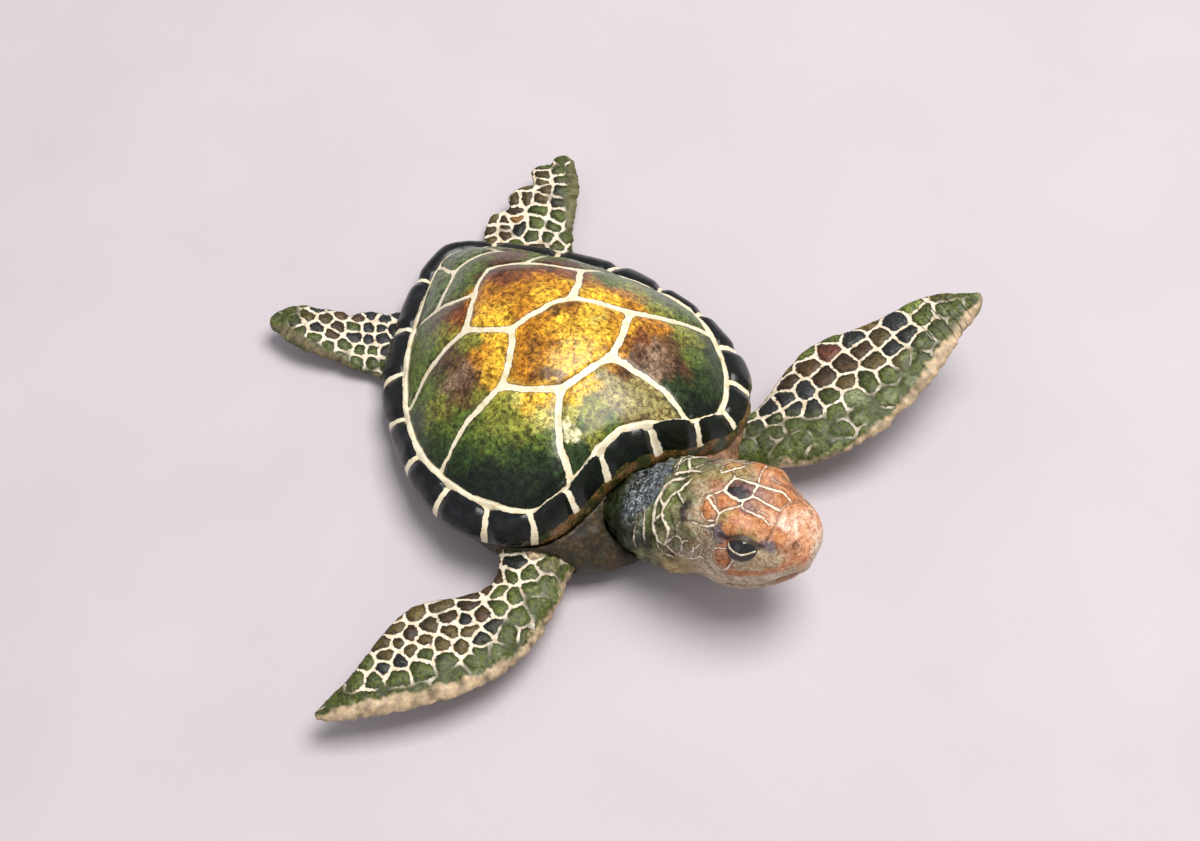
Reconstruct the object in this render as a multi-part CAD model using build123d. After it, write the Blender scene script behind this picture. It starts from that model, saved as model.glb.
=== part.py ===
from build123d import *
import os
from math import cos, hypot, pi, sin

# A cast and painted sea turtle figurine that rests on its flat belly.
# +X points from the tail to the neck, +Y to the turtle's left, +Z up.
# The table is the plane of zero height. All lengths are in millimetres.

# Driving sizes. Every outline below is written in shares of the shell length.
shell_length = 84.0
groove_width = 1.3
groove_depth = 0.5
fit_gap = 0.12
eye_diameter = 6.4

# Shares of the shell length for the main heights and roundings.
dome_power_share = 2.1
rim_bulge_share = 0.012
rim_lip_share = 0.036
rim_tuck_share = 0.030
reach_share = 0.30

# The seam between the dome and the rim, from the nape round to the tail:
# along the body, out from the middle, and up from the table.
ring_shares = [
    (0.356, 0.000, 0.329),
    (0.369, 0.062, 0.323),
    (0.400, 0.180, 0.300),
    (0.384, 0.270, 0.243),
    (0.306, 0.337, 0.212),
    (0.200, 0.380, 0.194),
    (0.083, 0.394, 0.179),
    (-0.045, 0.363, 0.152),
    (-0.186, 0.293, 0.124),
    (-0.298, 0.211, 0.104),
    (-0.400, 0.105, 0.090),
    (-0.452, 0.040, 0.086),
    (-0.462, 0.000, 0.086),
]

# The outer edge of the rim at the same stations.
lip_shares = [
    (0.417, 0.000, 0.235),
    (0.429, 0.071, 0.226),
    (0.452, 0.190, 0.196),
    (0.432, 0.298, 0.178),
    (0.340, 0.395, 0.160),
    (0.226, 0.437, 0.138),
    (0.090, 0.440, 0.118),
    (-0.076, 0.406, 0.092),
    (-0.230, 0.340, 0.072),
    (-0.345, 0.248, 0.060),
    (-0.448, 0.138, 0.056),
    (-0.502, 0.048, 0.062),
    (-0.516, 0.000, 0.064),
]

# The top of the dome: station along the body, half breadth of the seam,
# height of the seam, and height of the crest.
dome_shares = [
    (-0.510, 0.070, 0.055, 0.060),
    (-0.462, 0.085, 0.078, 0.100),
    (-0.417, 0.120, 0.088, 0.150),
    (-0.310, 0.205, 0.098, 0.238),
    (-0.200, 0.285, 0.121, 0.310),
    (-0.089, 0.343, 0.143, 0.360),
    (0.000, 0.379, 0.162, 0.382),
    (0.107, 0.395, 0.182, 0.393),
    (0.202, 0.380, 0.194, 0.374),
    (0.300, 0.350, 0.206, 0.350),
    (0.360, 0.345, 0.190, 0.328),
    (0.430, 0.345, 0.160, 0.296),
]

# Corners of the shell plates on the turtle's left side.
vertebral_shares = [
    (0.415, 0.178),
    (0.204, 0.075),
    (0.112, 0.181),
    (0.000, 0.082),
    (-0.089, 0.171),
    (-0.200, 0.080),
    (-0.239, 0.150),
    (-0.330, 0.070),
    (-0.460, 0.060),
]
cross_seams = [1, 3, 5, 7]
costal_shares = [
    (2, [(0.163, 0.400)]),
    (4, [(-0.090, 0.360)]),
    (6, [(-0.262, 0.190), (-0.290, 0.215)]),
]

# Level loops of the belly casting: height, then points from the front round
# the left side to the back.
belly_shares = [
    (0.000, [
        (0.47, 0.00), (0.45, 0.14), (0.32, 0.27), (0.05, 0.31), (-0.16, 0.25), (-0.33, 0.12), (-0.38, 0.00),
    ]),
    (0.040, [
        (0.54, 0.00), (0.52, 0.15), (0.38, 0.31), (0.06, 0.365), (-0.19, 0.29), (-0.40, 0.14), (-0.46, 0.00),
    ]),
    (0.090, [
        (0.56, 0.00), (0.54, 0.16), (0.40, 0.340), (0.07, 0.390), (-0.20, 0.30), (-0.42, 0.15), (-0.48, 0.00),
    ]),
    (0.150, [
        (0.50, 0.00), (0.49, 0.19), (0.36, 0.355), (0.07, 0.380), (-0.18, 0.28), (-0.38, 0.13), (-0.43, 0.00),
    ]),
    (0.220, [
        (0.41, 0.00), (0.41, 0.18), (0.32, 0.32), (0.07, 0.345), (-0.15, 0.25), (-0.33, 0.11), (-0.38, 0.00),
    ]),
    (0.330, [
        (0.35, 0.00), (0.35, 0.15), (0.27, 0.27), (0.06, 0.300), (-0.12, 0.21), (-0.27, 0.09), (-0.32, 0.00),
    ]),
]

# The seat under the dome is a tilted plane: height at the tail and the nape.
seat_tail_share = 0.068
seat_nape_share = 0.205

# Flipper stations from inside the body to the tip: trailing edge, leading
# edge (along, out, up) and half thickness.
front_left_shares = [
    ((0.33, 0.26, 0.105), (0.49, 0.19, 0.090), 0.052),
    ((0.365, 0.40, 0.115), (0.535, 0.35, 0.105), 0.050),
    ((0.345, 0.46, 0.135), (0.575, 0.41, 0.125), 0.046),
    ((0.315, 0.555, 0.165), (0.603, 0.50, 0.150), 0.041),
    ((0.340, 0.685, 0.200), (0.600, 0.66, 0.190), 0.034),
    ((0.380, 0.805, 0.238), (0.548, 0.80, 0.230), 0.027),
    ((0.430, 0.930, 0.275), (0.495, 0.935, 0.270), 0.018),
    ((0.458, 0.975, 0.289), (0.475, 0.978, 0.288), 0.008),
]
front_right_shares = [
    ((0.33, 0.26, 0.100), (0.49, 0.17, 0.085), 0.052),
    ((0.39, 0.36, 0.112), (0.53, 0.255, 0.092), 0.050),
    ((0.455, 0.425, 0.125), (0.595, 0.335, 0.100), 0.046),
    ((0.430, 0.54, 0.135), (0.655, 0.465, 0.110), 0.041),
    ((0.418, 0.625, 0.138), (0.662, 0.585, 0.115), 0.035),
    ((0.472, 0.752, 0.130), (0.622, 0.738, 0.112), 0.028),
    ((0.510, 0.865, 0.112), (0.565, 0.870, 0.105), 0.018),
    ((0.520, 0.915, 0.102), (0.537, 0.917, 0.100), 0.008),
]
rear_left_shares = [
    ((-0.38, 0.06, 0.034), (-0.25, 0.15, 0.034), 0.023),
    ((-0.49, 0.10, 0.038), (-0.335, 0.285, 0.036), 0.025),
    ((-0.555, 0.165, 0.052), (-0.405, 0.33, 0.046), 0.025),
    ((-0.585, 0.27, 0.078), (-0.475, 0.375, 0.066), 0.024),
    ((-0.605, 0.37, 0.084), (-0.54, 0.415, 0.070), 0.018),
    ((-0.602, 0.425, 0.084), (-0.583, 0.436, 0.080), 0.008),
]
rear_right_shares = [
    ((-0.32, 0.10, 0.034), (-0.18, 0.20, 0.034), 0.023),
    ((-0.425, 0.225, 0.040), (-0.25, 0.335, 0.038), 0.025),
    ((-0.46, 0.305, 0.056), (-0.33, 0.40, 0.048), 0.025),
    ((-0.495, 0.385, 0.080), (-0.405, 0.455, 0.066), 0.024),
    ((-0.528, 0.450, 0.084), (-0.475, 0.490, 0.074), 0.018),
    ((-0.530, 0.505, 0.084), (-0.512, 0.514, 0.080), 0.008),
]

# Neck and head stations from inside the body to the snout: middle of the
# section, heading, half breadth, rise over and drop under the middle, and
# how square the section is.
neck_shares = [
    ((0.345, 0.000, 0.100), (0.93, 0.05, 0.25), 0.105, 0.078, 0.070, 2.1),
    ((0.420, 0.002, 0.124), (0.88, 0.12, 0.42), 0.122, 0.088, 0.105, 2.1),
    ((0.500, 0.018, 0.170), (0.82, 0.27, 0.56), 0.126, 0.090, 0.142, 2.2),
    ((0.580, 0.056, 0.228), (0.80, 0.43, 0.48), 0.120, 0.108, 0.165, 2.4),
    ((0.636, 0.091, 0.262), (0.82, 0.52, 0.15), 0.124, 0.115, 0.164, 2.6),
    ((0.687, 0.124, 0.274), (0.84, 0.54, 0.02), 0.131, 0.112, 0.165, 2.9),
    ((0.737, 0.156, 0.276), (0.84, 0.54, -0.05), 0.121, 0.098, 0.156, 2.9),
    ((0.787, 0.188, 0.277), (0.84, 0.54, -0.10), 0.097, 0.072, 0.131, 2.7),
    ((0.823, 0.212, 0.274), (0.84, 0.54, -0.15), 0.066, 0.050, 0.094, 2.5),
    ((0.841, 0.223, 0.266), (0.84, 0.54, -0.15), 0.030, 0.028, 0.050, 2.2),
]

# Middle of the head between the eyes, and the middle of each eye.
head_middle_shares = (0.737, 0.156, 0.276)
eye_left_shares = (0.669, 0.219, 0.327)
eye_right_shares = (0.766, 0.068, 0.327)

# Ribs across the rim: from the dome seam to the lip, on the left side.
rib_shares = [
    ((0.355, 0.064, 0.323), (0.430, 0.064, 0.227)),
    ((0.390, 0.184, 0.298), (0.460, 0.163, 0.204)),
    ((0.374, 0.262, 0.247), (0.458, 0.290, 0.180)),
    ((0.300, 0.330, 0.213), (0.372, 0.392, 0.165)),
    ((0.198, 0.368, 0.195), (0.222, 0.445, 0.138)),
    ((0.085, 0.382, 0.180), (0.070, 0.448, 0.117)),
    ((-0.038, 0.352, 0.153), (-0.080, 0.412, 0.093)),
    ((-0.180, 0.283, 0.126), (-0.204, 0.362, 0.077)),
    ((-0.290, 0.203, 0.106), (-0.345, 0.255, 0.061)),
    ((-0.408, 0.088, 0.091), (-0.470, 0.128, 0.058)),
]
loop_points = 20


def at(shares):
    """A point given in shares of the shell length."""
    return Vector(*[share * shell_length for share in shares])


def closed_curve(points):
    """A smooth closed wire through the points."""
    return Wire([Edge.make_spline(points, periodic=True)])


def oval_curve(points):
    """A closed wire in two smooth halves, over and under."""
    middle = len(points) // 2
    over = points[:middle + 1]
    under = points[middle:] + points[:1]
    return Wire([Edge.make_spline(over), Edge.make_spline(under)])


def mirrored(points):
    """Left-side points followed by their mirror images on the right."""
    inner = [point for point in points if abs(point[1]) > 0]
    return list(points) + [(p[0], -p[1]) + tuple(p[2:]) for p in reversed(inner)]


def ring_prism(shrink, bottom, top):
    """The upright prism inside the dome seam, made smaller all round."""
    outline = []
    for along, out, up in mirrored(ring_shares):
        reach = hypot(along, out)
        inward = 1 - shrink / (reach * shell_length)
        outline.append(Vector(along * inward * shell_length, out * inward * shell_length, bottom))
    return Solid.extrude(Face(closed_curve(outline)), Vector(0, 0, top - bottom))


def dome_form(sink):
    """The swelling top of the shell, cut off flat below."""
    sections = []
    steps = 6
    for along, seam_out, seam_up, crest_up in dome_shares:
        x = along * shell_length
        top_points = []
        for step in range(-steps, steps + 1):
            across = step / steps * 1.15
            fall = abs(across) ** dome_power_share
            height = seam_up + (crest_up - seam_up) * (1 - fall)
            top_points.append(Vector(x, across * seam_out * shell_length, height * shell_length - sink))
        floor_z = -reach_share * shell_length
        low_right = Vector(x, top_points[0].Y, floor_z)
        low_left = Vector(x, top_points[-1].Y, floor_z)
        sections.append(Wire([
            Edge.make_spline(top_points),
            Edge.make_line(top_points[-1], low_left),
            Edge.make_line(low_left, low_right),
            Edge.make_line(low_right, top_points[0]),
        ]))
    return Solid.make_loft(sections, ruled=False)


def rim_form(grow, lift):
    """Half of the rim band as one sweep of upright sections, then its mirror."""
    sections = []
    for ring, lip in zip(ring_shares, lip_shares):
        start = at(ring)
        end = at(lip)
        step = Vector(end.X - start.X, end.Y - start.Y, 0)
        reach = step.length
        out = step.normalized()
        drop = start.Z - end.Z
        bulge = rim_bulge_share * shell_length
        thick = rim_lip_share * shell_length
        tuck = rim_tuck_share * shell_length

        def spot(distance, height):
            return Vector(start.X, start.Y, height) + out * distance

        low = end.Z - thick - grow
        inner_top = spot(-tuck, start.Z + drop * tuck / reach / 2 + lift)
        top = [
            inner_top,
            spot(0, start.Z + lift),
            spot(reach * 0.45, start.Z - drop * 0.40 + bulge + lift),
            spot(reach * 0.85, start.Z - drop * 0.78 + bulge * 0.8 + lift),
            spot(reach + grow, end.Z),
        ]
        under = [
            spot(reach + grow, end.Z),
            spot(reach * 0.93 + grow, end.Z - thick * 0.65 - grow),
            spot(reach * 0.70, low),
        ]
        inner_low = spot(-tuck, low)
        sections.append(Wire([
            Edge.make_spline(top),
            Edge.make_spline(under),
            Edge.make_line(under[-1], inner_low),
            Edge.make_line(inner_low, inner_top),
        ]))
    half = Solid.make_loft(sections, ruled=False)
    return half.fuse(half.mirror(Plane.XZ)).clean()


def belly_form():
    """The belly and shoulders as level loops."""
    loops = []
    for height, points in belly_shares:
        outline = [at((x, y, height)) for x, y in mirrored(points)]
        loops.append(closed_curve(outline))
    return Solid.make_loft(loops, ruled=False)


def flipper_form(stations, side, grow):
    """One flipper from its root face inside the body to its tip."""
    sections = []
    edges = []
    for trailing, leading, thick in stations:
        back = at((trailing[0], trailing[1] * side, trailing[2]))
        front = at((leading[0], leading[1] * side, leading[2]))
        edges.append((back, front, thick))
    for number, (back, front, thick) in enumerate(edges):
        chord = front - back
        middle = (front + back) * 0.5
        if number == 0:
            onward = (edges[1][0] + edges[1][1]) * 0.5 - middle
            middle = middle - onward.normalized() * grow
        along = chord.normalized()
        lift = (Vector(0, 0, 1) - along * along.Z).normalized()
        half = chord.length / 2 + grow
        points = []
        for step in range(loop_points):
            angle = 2 * pi * step / loop_points
            swell = thick * shell_length * (0.74 + 0.26 * cos(angle)) + grow
            points.append(middle + along * (half * cos(angle)) + lift * (swell * sin(angle)))
        sections.append(oval_curve(points))
    return Solid.make_loft(sections, ruled=False)


def head_form(grow):
    """Neck and head as one sweep from the root face to the snout."""
    sections = []
    for number, (centre, heading, half, rise, drop, square) in enumerate(neck_shares):
        forward = Vector(*heading).normalized()
        side = Vector(0, 0, 1).cross(forward).normalized()
        lift = forward.cross(side)
        middle = at(centre)
        if number == 0:
            middle = middle - forward * grow
        points = []
        for step in range(loop_points):
            angle = 2 * pi * step / loop_points
            reach_side = abs(cos(angle)) ** (2 / square) * (1 if cos(angle) > 0 else -1)
            reach_up = abs(sin(angle)) ** (2 / square) * (1 if sin(angle) > 0 else -1)
            tall = (rise if reach_up > 0 else drop) * shell_length + grow
            wide = half * shell_length + grow
            points.append(middle + side * (reach_side * wide) + lift * (reach_up * tall))
        sections.append(oval_curve(points))
    return Solid.make_loft(sections, ruled=False)


def above_seat(raised):
    """Everything over the tilted seat plane of the dome."""
    rise = (seat_nape_share - seat_tail_share) / (ring_shares[0][0] - ring_shares[-1][0])
    back = -shell_length
    front = shell_length
    tail = ring_shares[-1][0] * shell_length
    low_back = seat_tail_share * shell_length + rise * (back - tail) + raised
    low_front = seat_tail_share * shell_length + rise * (front - tail) + raised
    outline = Wire.make_polygon([
        Vector(back, -shell_length, low_back),
        Vector(front, -shell_length, low_front),
        Vector(front, -shell_length, shell_length),
        Vector(back, -shell_length, shell_length),
    ])
    return Solid.extrude(Face(outline), Vector(0, 2 * shell_length, 0))


def rib_boxes():
    """Shallow slots across the rim, each in two straight runs."""
    boxes = []
    for side_sign in (1, -1):
        for ring, lip in rib_shares:
            start = at((ring[0], ring[1] * side_sign, ring[2]))
            end = at((lip[0], lip[1] * side_sign, lip[2]))
            middle = start + (end - start) * 0.45 + Vector(0, 0, rim_bulge_share * shell_length)
            for first, last in ((start, middle), (middle, end)):
                run = last - first
                across = Vector(0, 0, 1).cross(run).normalized()
                lift = run.normalized().cross(across)
                corner = first - across * (groove_width / 2) - lift * groove_depth
                slot = Plane(origin=corner, x_dir=run, z_dir=lift)
                boxes.append(Solid.make_box(run.length + groove_depth, groove_width, 4 * groove_depth, slot))
    return boxes


def seam_boxes(pairs, top):
    """Upright slots along straight plate seams."""
    boxes = []
    for start, end in pairs:
        run = Vector(end[0] - start[0], end[1] - start[1], 0) * shell_length
        box = Solid.make_box(run.length + groove_width, groove_width, top)
        box = box.moved(Location((-groove_width / 2, -groove_width / 2, 0)))
        turn = Vector(1, 0, 0).get_signed_angle(run, Vector(0, 0, 1))
        corner = (start[0] * shell_length, start[1] * shell_length, 0)
        box = box.moved(Location(corner, (0, 0, turn)))
        boxes.append(box)
    return boxes


def plate_seams():
    """End points of every straight seam on the dome, both sides."""
    pairs = []
    for first, second in zip(vertebral_shares, vertebral_shares[1:]):
        pairs.append((first, second))
    for corner, onward in costal_shares:
        previous = vertebral_shares[corner]
        for point in onward:
            pairs.append((previous, point))
            previous = point
    both = pairs + [((a[0], -a[1]), (b[0], -b[1])) for a, b in pairs]
    for corner in cross_seams:
        point = vertebral_shares[corner]
        both.append((point, (point[0], -point[1])))
    return both


def one_solid(shape):
    """The largest solid of a cut result."""
    return max(shape.solids(), key=lambda piece: piece.volume)


def common(first, second):
    """The one solid that two solids share."""
    return one_solid(first.intersect(second))


over_everything = shell_length
under_everything = -shell_length
seat = above_seat(0)

# Dome: the plates stand up between the seams, over one solid core.
dome = common(common(dome_form(0), ring_prism(fit_gap, 0, over_everything)), seat)
core = common(dome_form(groove_depth), ring_prism(2 * fit_gap, 0, over_everything))
core = common(core, above_seat(groove_depth))
plates = dome - seam_boxes(plate_seams(), over_everything)
dome = one_solid(core.fuse(*plates.solids()))

limbs = {
    "front_flipper_left": (front_left_shares, 1),
    "front_flipper_right": (front_right_shares, -1),
    "rear_flipper_left": (rear_left_shares, 1),
    "rear_flipper_right": (rear_right_shares, -1),
}
rooms = {name: flipper_form(stations, side, fit_gap) for name, (stations, side) in limbs.items()}

# Rim: one band round the dome, notched for the flippers and slotted by the ribs.
rim = rim_form(0, 0) - ring_prism(0, under_everything, over_everything)
for room in rooms.values():
    rim = one_solid(rim - room)
rim = one_solid(rim - rib_boxes())

# Belly: fills the space under the dome and rim, with a pocket for each limb.
rim_room = rim_form(fit_gap, reach_share * shell_length)
rim_room = rim_room - ring_prism(2 * fit_gap, under_everything, over_everything)
dome_room = common(ring_prism(0, 0, over_everything), seat)
body = belly_form()
for room in (rooms["rear_flipper_left"], rooms["rear_flipper_right"], head_form(fit_gap)):
    body = one_solid(body - room)
for room in (dome_room, rim_room, rooms["front_flipper_left"], rooms["front_flipper_right"]):
    body = one_solid(body - room)

# Head with a round socket for each eye, cut away under the nape of the rim.
head = one_solid(head_form(0) - rim_room)
eye_radius = eye_diameter / 2
for shares in (eye_left_shares, eye_right_shares):
    # The seam and poles of the ball lie inside the head, away from the open side.
    inward = (at(head_middle_shares) - at(shares)).normalized()
    turned = Plane(origin=at(shares), x_dir=inward, z_dir=inward.cross(Vector(0, 0, 1)))
    head = one_solid(head - Solid.make_sphere(eye_radius + fit_gap, plane=turned))

nodes = {
    "shell_dome": dome,
    "shell_rim": rim,
    "body": body,
    "head_and_neck": head,
    "eye_left": Solid.make_sphere(eye_radius).moved(Location(at(eye_left_shares))),
    "eye_right": Solid.make_sphere(eye_radius).moved(Location(at(eye_right_shares))),
}
for name, (stations, side) in limbs.items():
    nodes[name] = flipper_form(stations, side, 0)
os.makedirs("parts", exist_ok=True)
for name, solid in nodes.items():
    print(name, solid.is_valid, round(solid.volume), len(solid.faces()))
    export_step(solid, f"parts/{name}.step")
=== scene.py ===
import math

import bmesh
import bpy
import numpy as np
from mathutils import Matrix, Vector
from mathutils.bvhtree import BVHTree


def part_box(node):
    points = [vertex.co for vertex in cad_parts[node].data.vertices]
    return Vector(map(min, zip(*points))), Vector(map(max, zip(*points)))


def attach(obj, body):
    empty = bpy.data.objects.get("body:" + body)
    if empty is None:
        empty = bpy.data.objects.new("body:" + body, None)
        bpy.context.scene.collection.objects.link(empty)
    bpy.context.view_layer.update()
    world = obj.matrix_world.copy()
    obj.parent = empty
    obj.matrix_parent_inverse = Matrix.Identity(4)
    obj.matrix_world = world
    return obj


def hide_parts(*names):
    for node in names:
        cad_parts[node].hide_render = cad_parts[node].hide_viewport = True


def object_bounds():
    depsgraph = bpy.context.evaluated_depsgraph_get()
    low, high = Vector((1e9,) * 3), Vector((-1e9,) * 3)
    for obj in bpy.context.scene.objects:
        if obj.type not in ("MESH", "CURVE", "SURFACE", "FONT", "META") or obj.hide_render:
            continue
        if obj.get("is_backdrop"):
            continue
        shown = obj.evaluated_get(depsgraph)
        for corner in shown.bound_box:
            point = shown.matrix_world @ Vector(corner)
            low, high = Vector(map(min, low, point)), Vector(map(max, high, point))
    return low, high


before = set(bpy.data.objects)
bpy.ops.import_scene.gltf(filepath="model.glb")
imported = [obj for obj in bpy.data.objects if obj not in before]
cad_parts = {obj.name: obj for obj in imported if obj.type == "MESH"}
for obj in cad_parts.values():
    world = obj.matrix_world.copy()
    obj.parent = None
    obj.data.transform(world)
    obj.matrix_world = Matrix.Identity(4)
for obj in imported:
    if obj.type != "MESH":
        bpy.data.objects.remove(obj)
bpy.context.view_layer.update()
scene = bpy.context.scene
scene.view_settings.view_transform = "Standard"

# Table, lamps and camera. The turtle lies on a pale matt table top under one
# large soft window light, nearly overhead, and a weak fill, and is seen from
# above and in front of its right shoulder. Nothing here is part of the turtle.
mm = 0.001
camera_target = Vector((0.0, 0.01372, -0.01982))
camera_distance = 0.449
camera_azimuth = math.radians(-31.62)
camera_height = math.radians(57.0)
lamp_target = Vector((0, 0, 0.02))
window_white = (1.0, 0.98, 0.96)
fill_white = (0.97, 0.98, 1.0)
window_width, window_watts = 0.44, 7.4
fill_width, fill_watts = 0.7, 0.6
room_white = (0.95, 0.95, 1.0, 1)
room_strength = 0.42
table_half_width = 1.6
table_dull = (0.56, 0.515, 0.54)
table_pale = (0.60, 0.55, 0.575)

camera_data = bpy.data.cameras.new("camera")
camera_data.lens = 60
camera_data.sensor_width = 36
camera = bpy.data.objects.new("camera", camera_data)
scene.collection.objects.link(camera)
toward_camera = Vector((
    math.cos(camera_azimuth) * math.cos(camera_height),
    math.sin(camera_azimuth) * math.cos(camera_height),
    math.sin(camera_height),
))
camera.location = camera_target + toward_camera * camera_distance
camera.rotation_mode = "QUATERNION"
camera.rotation_quaternion = (-toward_camera).to_track_quat("-Z", "Y")
scene.camera = camera


def lamp(name, place, size, watts, colour):
    """A square soft lamp that faces the turtle."""
    data = bpy.data.lights.new(name, "AREA")
    data.shape = "SQUARE"
    data.size = size
    data.energy = watts
    data.color = colour
    lit = bpy.data.objects.new(name, data)
    scene.collection.objects.link(lit)
    lit.location = place
    lit.rotation_mode = "QUATERNION"
    lit.rotation_quaternion = (lamp_target - place).to_track_quat("-Z", "Y")


# On the table, away is the picture's up direction and sideways is its left.
away = Vector((-toward_camera.x, -toward_camera.y, 0)).normalized()
sideways = Vector((-away.y, away.x, 0))
window_place = away * 0.04 + sideways * -0.20 + Vector((0, 0, 0.80))
fill_place = away * -0.50 + sideways * 0.60 + Vector((0, 0, 0.60))
lamp("window_lamp", window_place, window_width, window_watts, window_white)
lamp("fill_lamp", fill_place, fill_width, fill_watts, fill_white)

world = bpy.data.worlds.new("room")
scene.world = world
world.use_nodes = True
room = world.node_tree.nodes["Background"]
room.inputs["Color"].default_value = room_white
room.inputs["Strength"].default_value = room_strength


def new_material(name):
    """A new material, its node tree and its Principled shader."""
    made = bpy.data.materials.new(name)
    made.use_nodes = True
    return made, made.node_tree, made.node_tree.nodes["Principled BSDF"]


def join(tree, value, socket):
    """Gives a socket its value: a number, a colour, or a link from another socket."""
    if isinstance(value, (int, float)):
        socket.default_value = value
    elif isinstance(value, tuple):
        socket.default_value = value + (1,)
    else:
        tree.links.new(value, socket)


def add(tree, kind, **values):
    """A node with its settings and what goes into its sockets."""
    node = tree.nodes.new(kind)
    for key, value in values.items():
        if hasattr(node, key):
            setattr(node, key, value)
        else:
            join(tree, value, node.inputs[key.replace("_", " ")])
    return node


def maths(tree, operation, first, second):
    """One sum of two values, each a socket or a number."""
    node = add(tree, "ShaderNodeMath", operation=operation)
    join(tree, first, node.inputs[0])
    join(tree, second, node.inputs[1])
    return node.outputs[0]


def ramp(tree, source, stops):
    """A colour ramp over a value, from (place, colour) stops."""
    node = add(tree, "ShaderNodeValToRGB", Fac=source)
    stages = node.color_ramp.elements
    stages.remove(stages[-1])
    stages[0].position = stops[0][0]
    stages[0].color = stops[0][1] + (1,)
    for place, colour in stops[1:]:
        stages.new(place).color = colour + (1,)
    return node.outputs["Color"]


def noise(tree, cells_per_mm, detail=2.0, roughness=0.5, distortion=0.0):
    """A noise value over the piece's own coordinates."""
    place = tree.nodes.get("own place") or add(tree, "ShaderNodeTexCoord", name="own place")
    scale = maths(tree, "MULTIPLY", cells_per_mm, 1 / mm)
    return add(tree, "ShaderNodeTexNoise", Vector=place.outputs["Object"], Scale=scale, Detail=detail,
               Roughness=roughness, Distortion=distortion).outputs["Fac"]


def node_group(name, result, kind, **inputs):
    """A node group with named sockets: its tree, what goes into it and what comes out."""
    tree = bpy.data.node_groups.new(name, "ShaderNodeTree")
    for label, input_kind in inputs.items():
        tree.interface.new_socket(label.replace("_", " "), in_out="INPUT", socket_type="NodeSocket" + input_kind)
    tree.interface.new_socket(result, in_out="OUTPUT", socket_type="NodeSocket" + kind)
    return tree, tree.nodes.new("NodeGroupInput").outputs, tree.nodes.new("NodeGroupOutput").inputs[result]


def use(tree, group, **values):
    """A node group at work in a material, with what goes into its sockets."""
    node = add(tree, "ShaderNodeGroup", node_tree=group)
    for label, value in values.items():
        join(tree, value, node.inputs[label.replace("_", " ")])
    return node.outputs[0]


# The fine unevenness of a cast or brushed surface, shared by every material.
surface_grain, given, result = node_group(
    "surface_grain", "Normal", "Vector", Cells_per_mm="Float", Detail="Float", Roughness="Float",
    Strength="Float", Distance="Float")
grain_height = noise(surface_grain, given["Cells per mm"], given["Detail"], given["Roughness"])
grain_bump = add(surface_grain, "ShaderNodeBump", Strength=given["Strength"], Distance=given["Distance"],
                 Height=grain_height)
join(surface_grain, grain_bump.outputs["Normal"], result)


def finish(tree, shader, colour, roughness, grain, **values):
    """Joins colour, roughness and grain (noise, then strength and depth in mm) to the shader."""
    cells_per_mm, detail, coarseness, strength, depth = grain
    normal = use(tree, surface_grain, Cells_per_mm=cells_per_mm, Detail=detail, Roughness=coarseness,
                 Strength=strength, Distance=depth * mm)
    for label, value in dict(Base_Color=colour, Roughness=roughness, Normal=normal, **values).items():
        join(tree, value, shader.inputs[label.replace("_", " ")])


floor_mesh = bpy.data.meshes.new("table_top")
floor_form = bmesh.new()
bmesh.ops.create_grid(floor_form, x_segments=1, y_segments=1, size=table_half_width)
floor_form.to_mesh(floor_mesh)
floor_form.free()
floor = bpy.data.objects.new("table_top", floor_mesh)
scene.collection.objects.link(floor)
floor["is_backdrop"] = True
table_paint, tree, shader = new_material("pale_table")
colour = ramp(tree, noise(tree, 0.02, 3.0), [(0.3, table_dull), (0.7, table_pale)])
finish(tree, shader, colour, 0.75, (0.9, 2.0, 0.5, 0.25, 0.3), Specular_IOR_Level=0.2)
floor_mesh.materials.append(table_paint)

# Shell dome. The high cap of the shell is cast in resin with pillowed plates,
# sponged in amber, rust and greens, and sealed with a glossy varnish. Cream
# paint is run into the grooves between the plates. Sizes are in millimetres.
shell_cell = 0.36
plug_overrun = 0.2
weld_reach = 0.005
dome_plate_rise = 0.30
dome_plate_shoulder = 0.24
dome_groove_depth = 0.46
border_margin = 1.2
cast_groove_reach = 1.6
filled_reach = 1.8
seam_merge = 0.30
groove_shade = (0.035, 0.024, 0.008)
# Pale paint for the painted window reflection on the front plate.
reflection_paint = (0.66, 0.62, 0.34)


def cast_copy(node, name, cell, plugs=()):
    """A merged copy of a solid, remeshed into even cells that can be carved."""
    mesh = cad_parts[node].data.copy()
    form = bmesh.new()
    form.from_mesh(mesh)
    for low, high in plugs:
        radius = (high.x - low.x) / 2 + plug_overrun * mm
        ball = bmesh.ops.create_icosphere(form, subdivisions=4, radius=radius)
        bmesh.ops.translate(form, verts=ball["verts"], vec=(low + high) / 2)
    bmesh.ops.remove_doubles(form, verts=form.verts, dist=weld_reach * mm)
    bmesh.ops.recalc_face_normals(form, faces=form.faces)
    form.to_mesh(mesh)
    form.free()
    rough = bpy.data.objects.new(name + "_rough", mesh)
    scene.collection.objects.link(rough)
    cells = rough.modifiers.new("cells", "REMESH")
    cells.mode = "VOXEL"
    cells.voxel_size = cell * mm
    even = bpy.data.meshes.new_from_object(rough.evaluated_get(bpy.context.evaluated_depsgraph_get()))
    bpy.data.objects.remove(rough)
    even.name = name
    even.materials.clear()
    piece = bpy.data.objects.new(name, even)
    scene.collection.objects.link(piece)
    return piece


def places(piece):
    """Every vertex place of a piece in millimetres."""
    flat = np.zeros(len(piece.data.vertices) * 3)
    piece.data.vertices.foreach_get("co", flat)
    return flat.reshape(-1, 3) / mm


def facing(piece):
    """Every vertex normal of a piece."""
    flat = np.zeros(len(piece.data.vertices) * 3)
    piece.data.vertex_normals.foreach_get("vector", flat)
    return flat.reshape(-1, 3)


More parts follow.
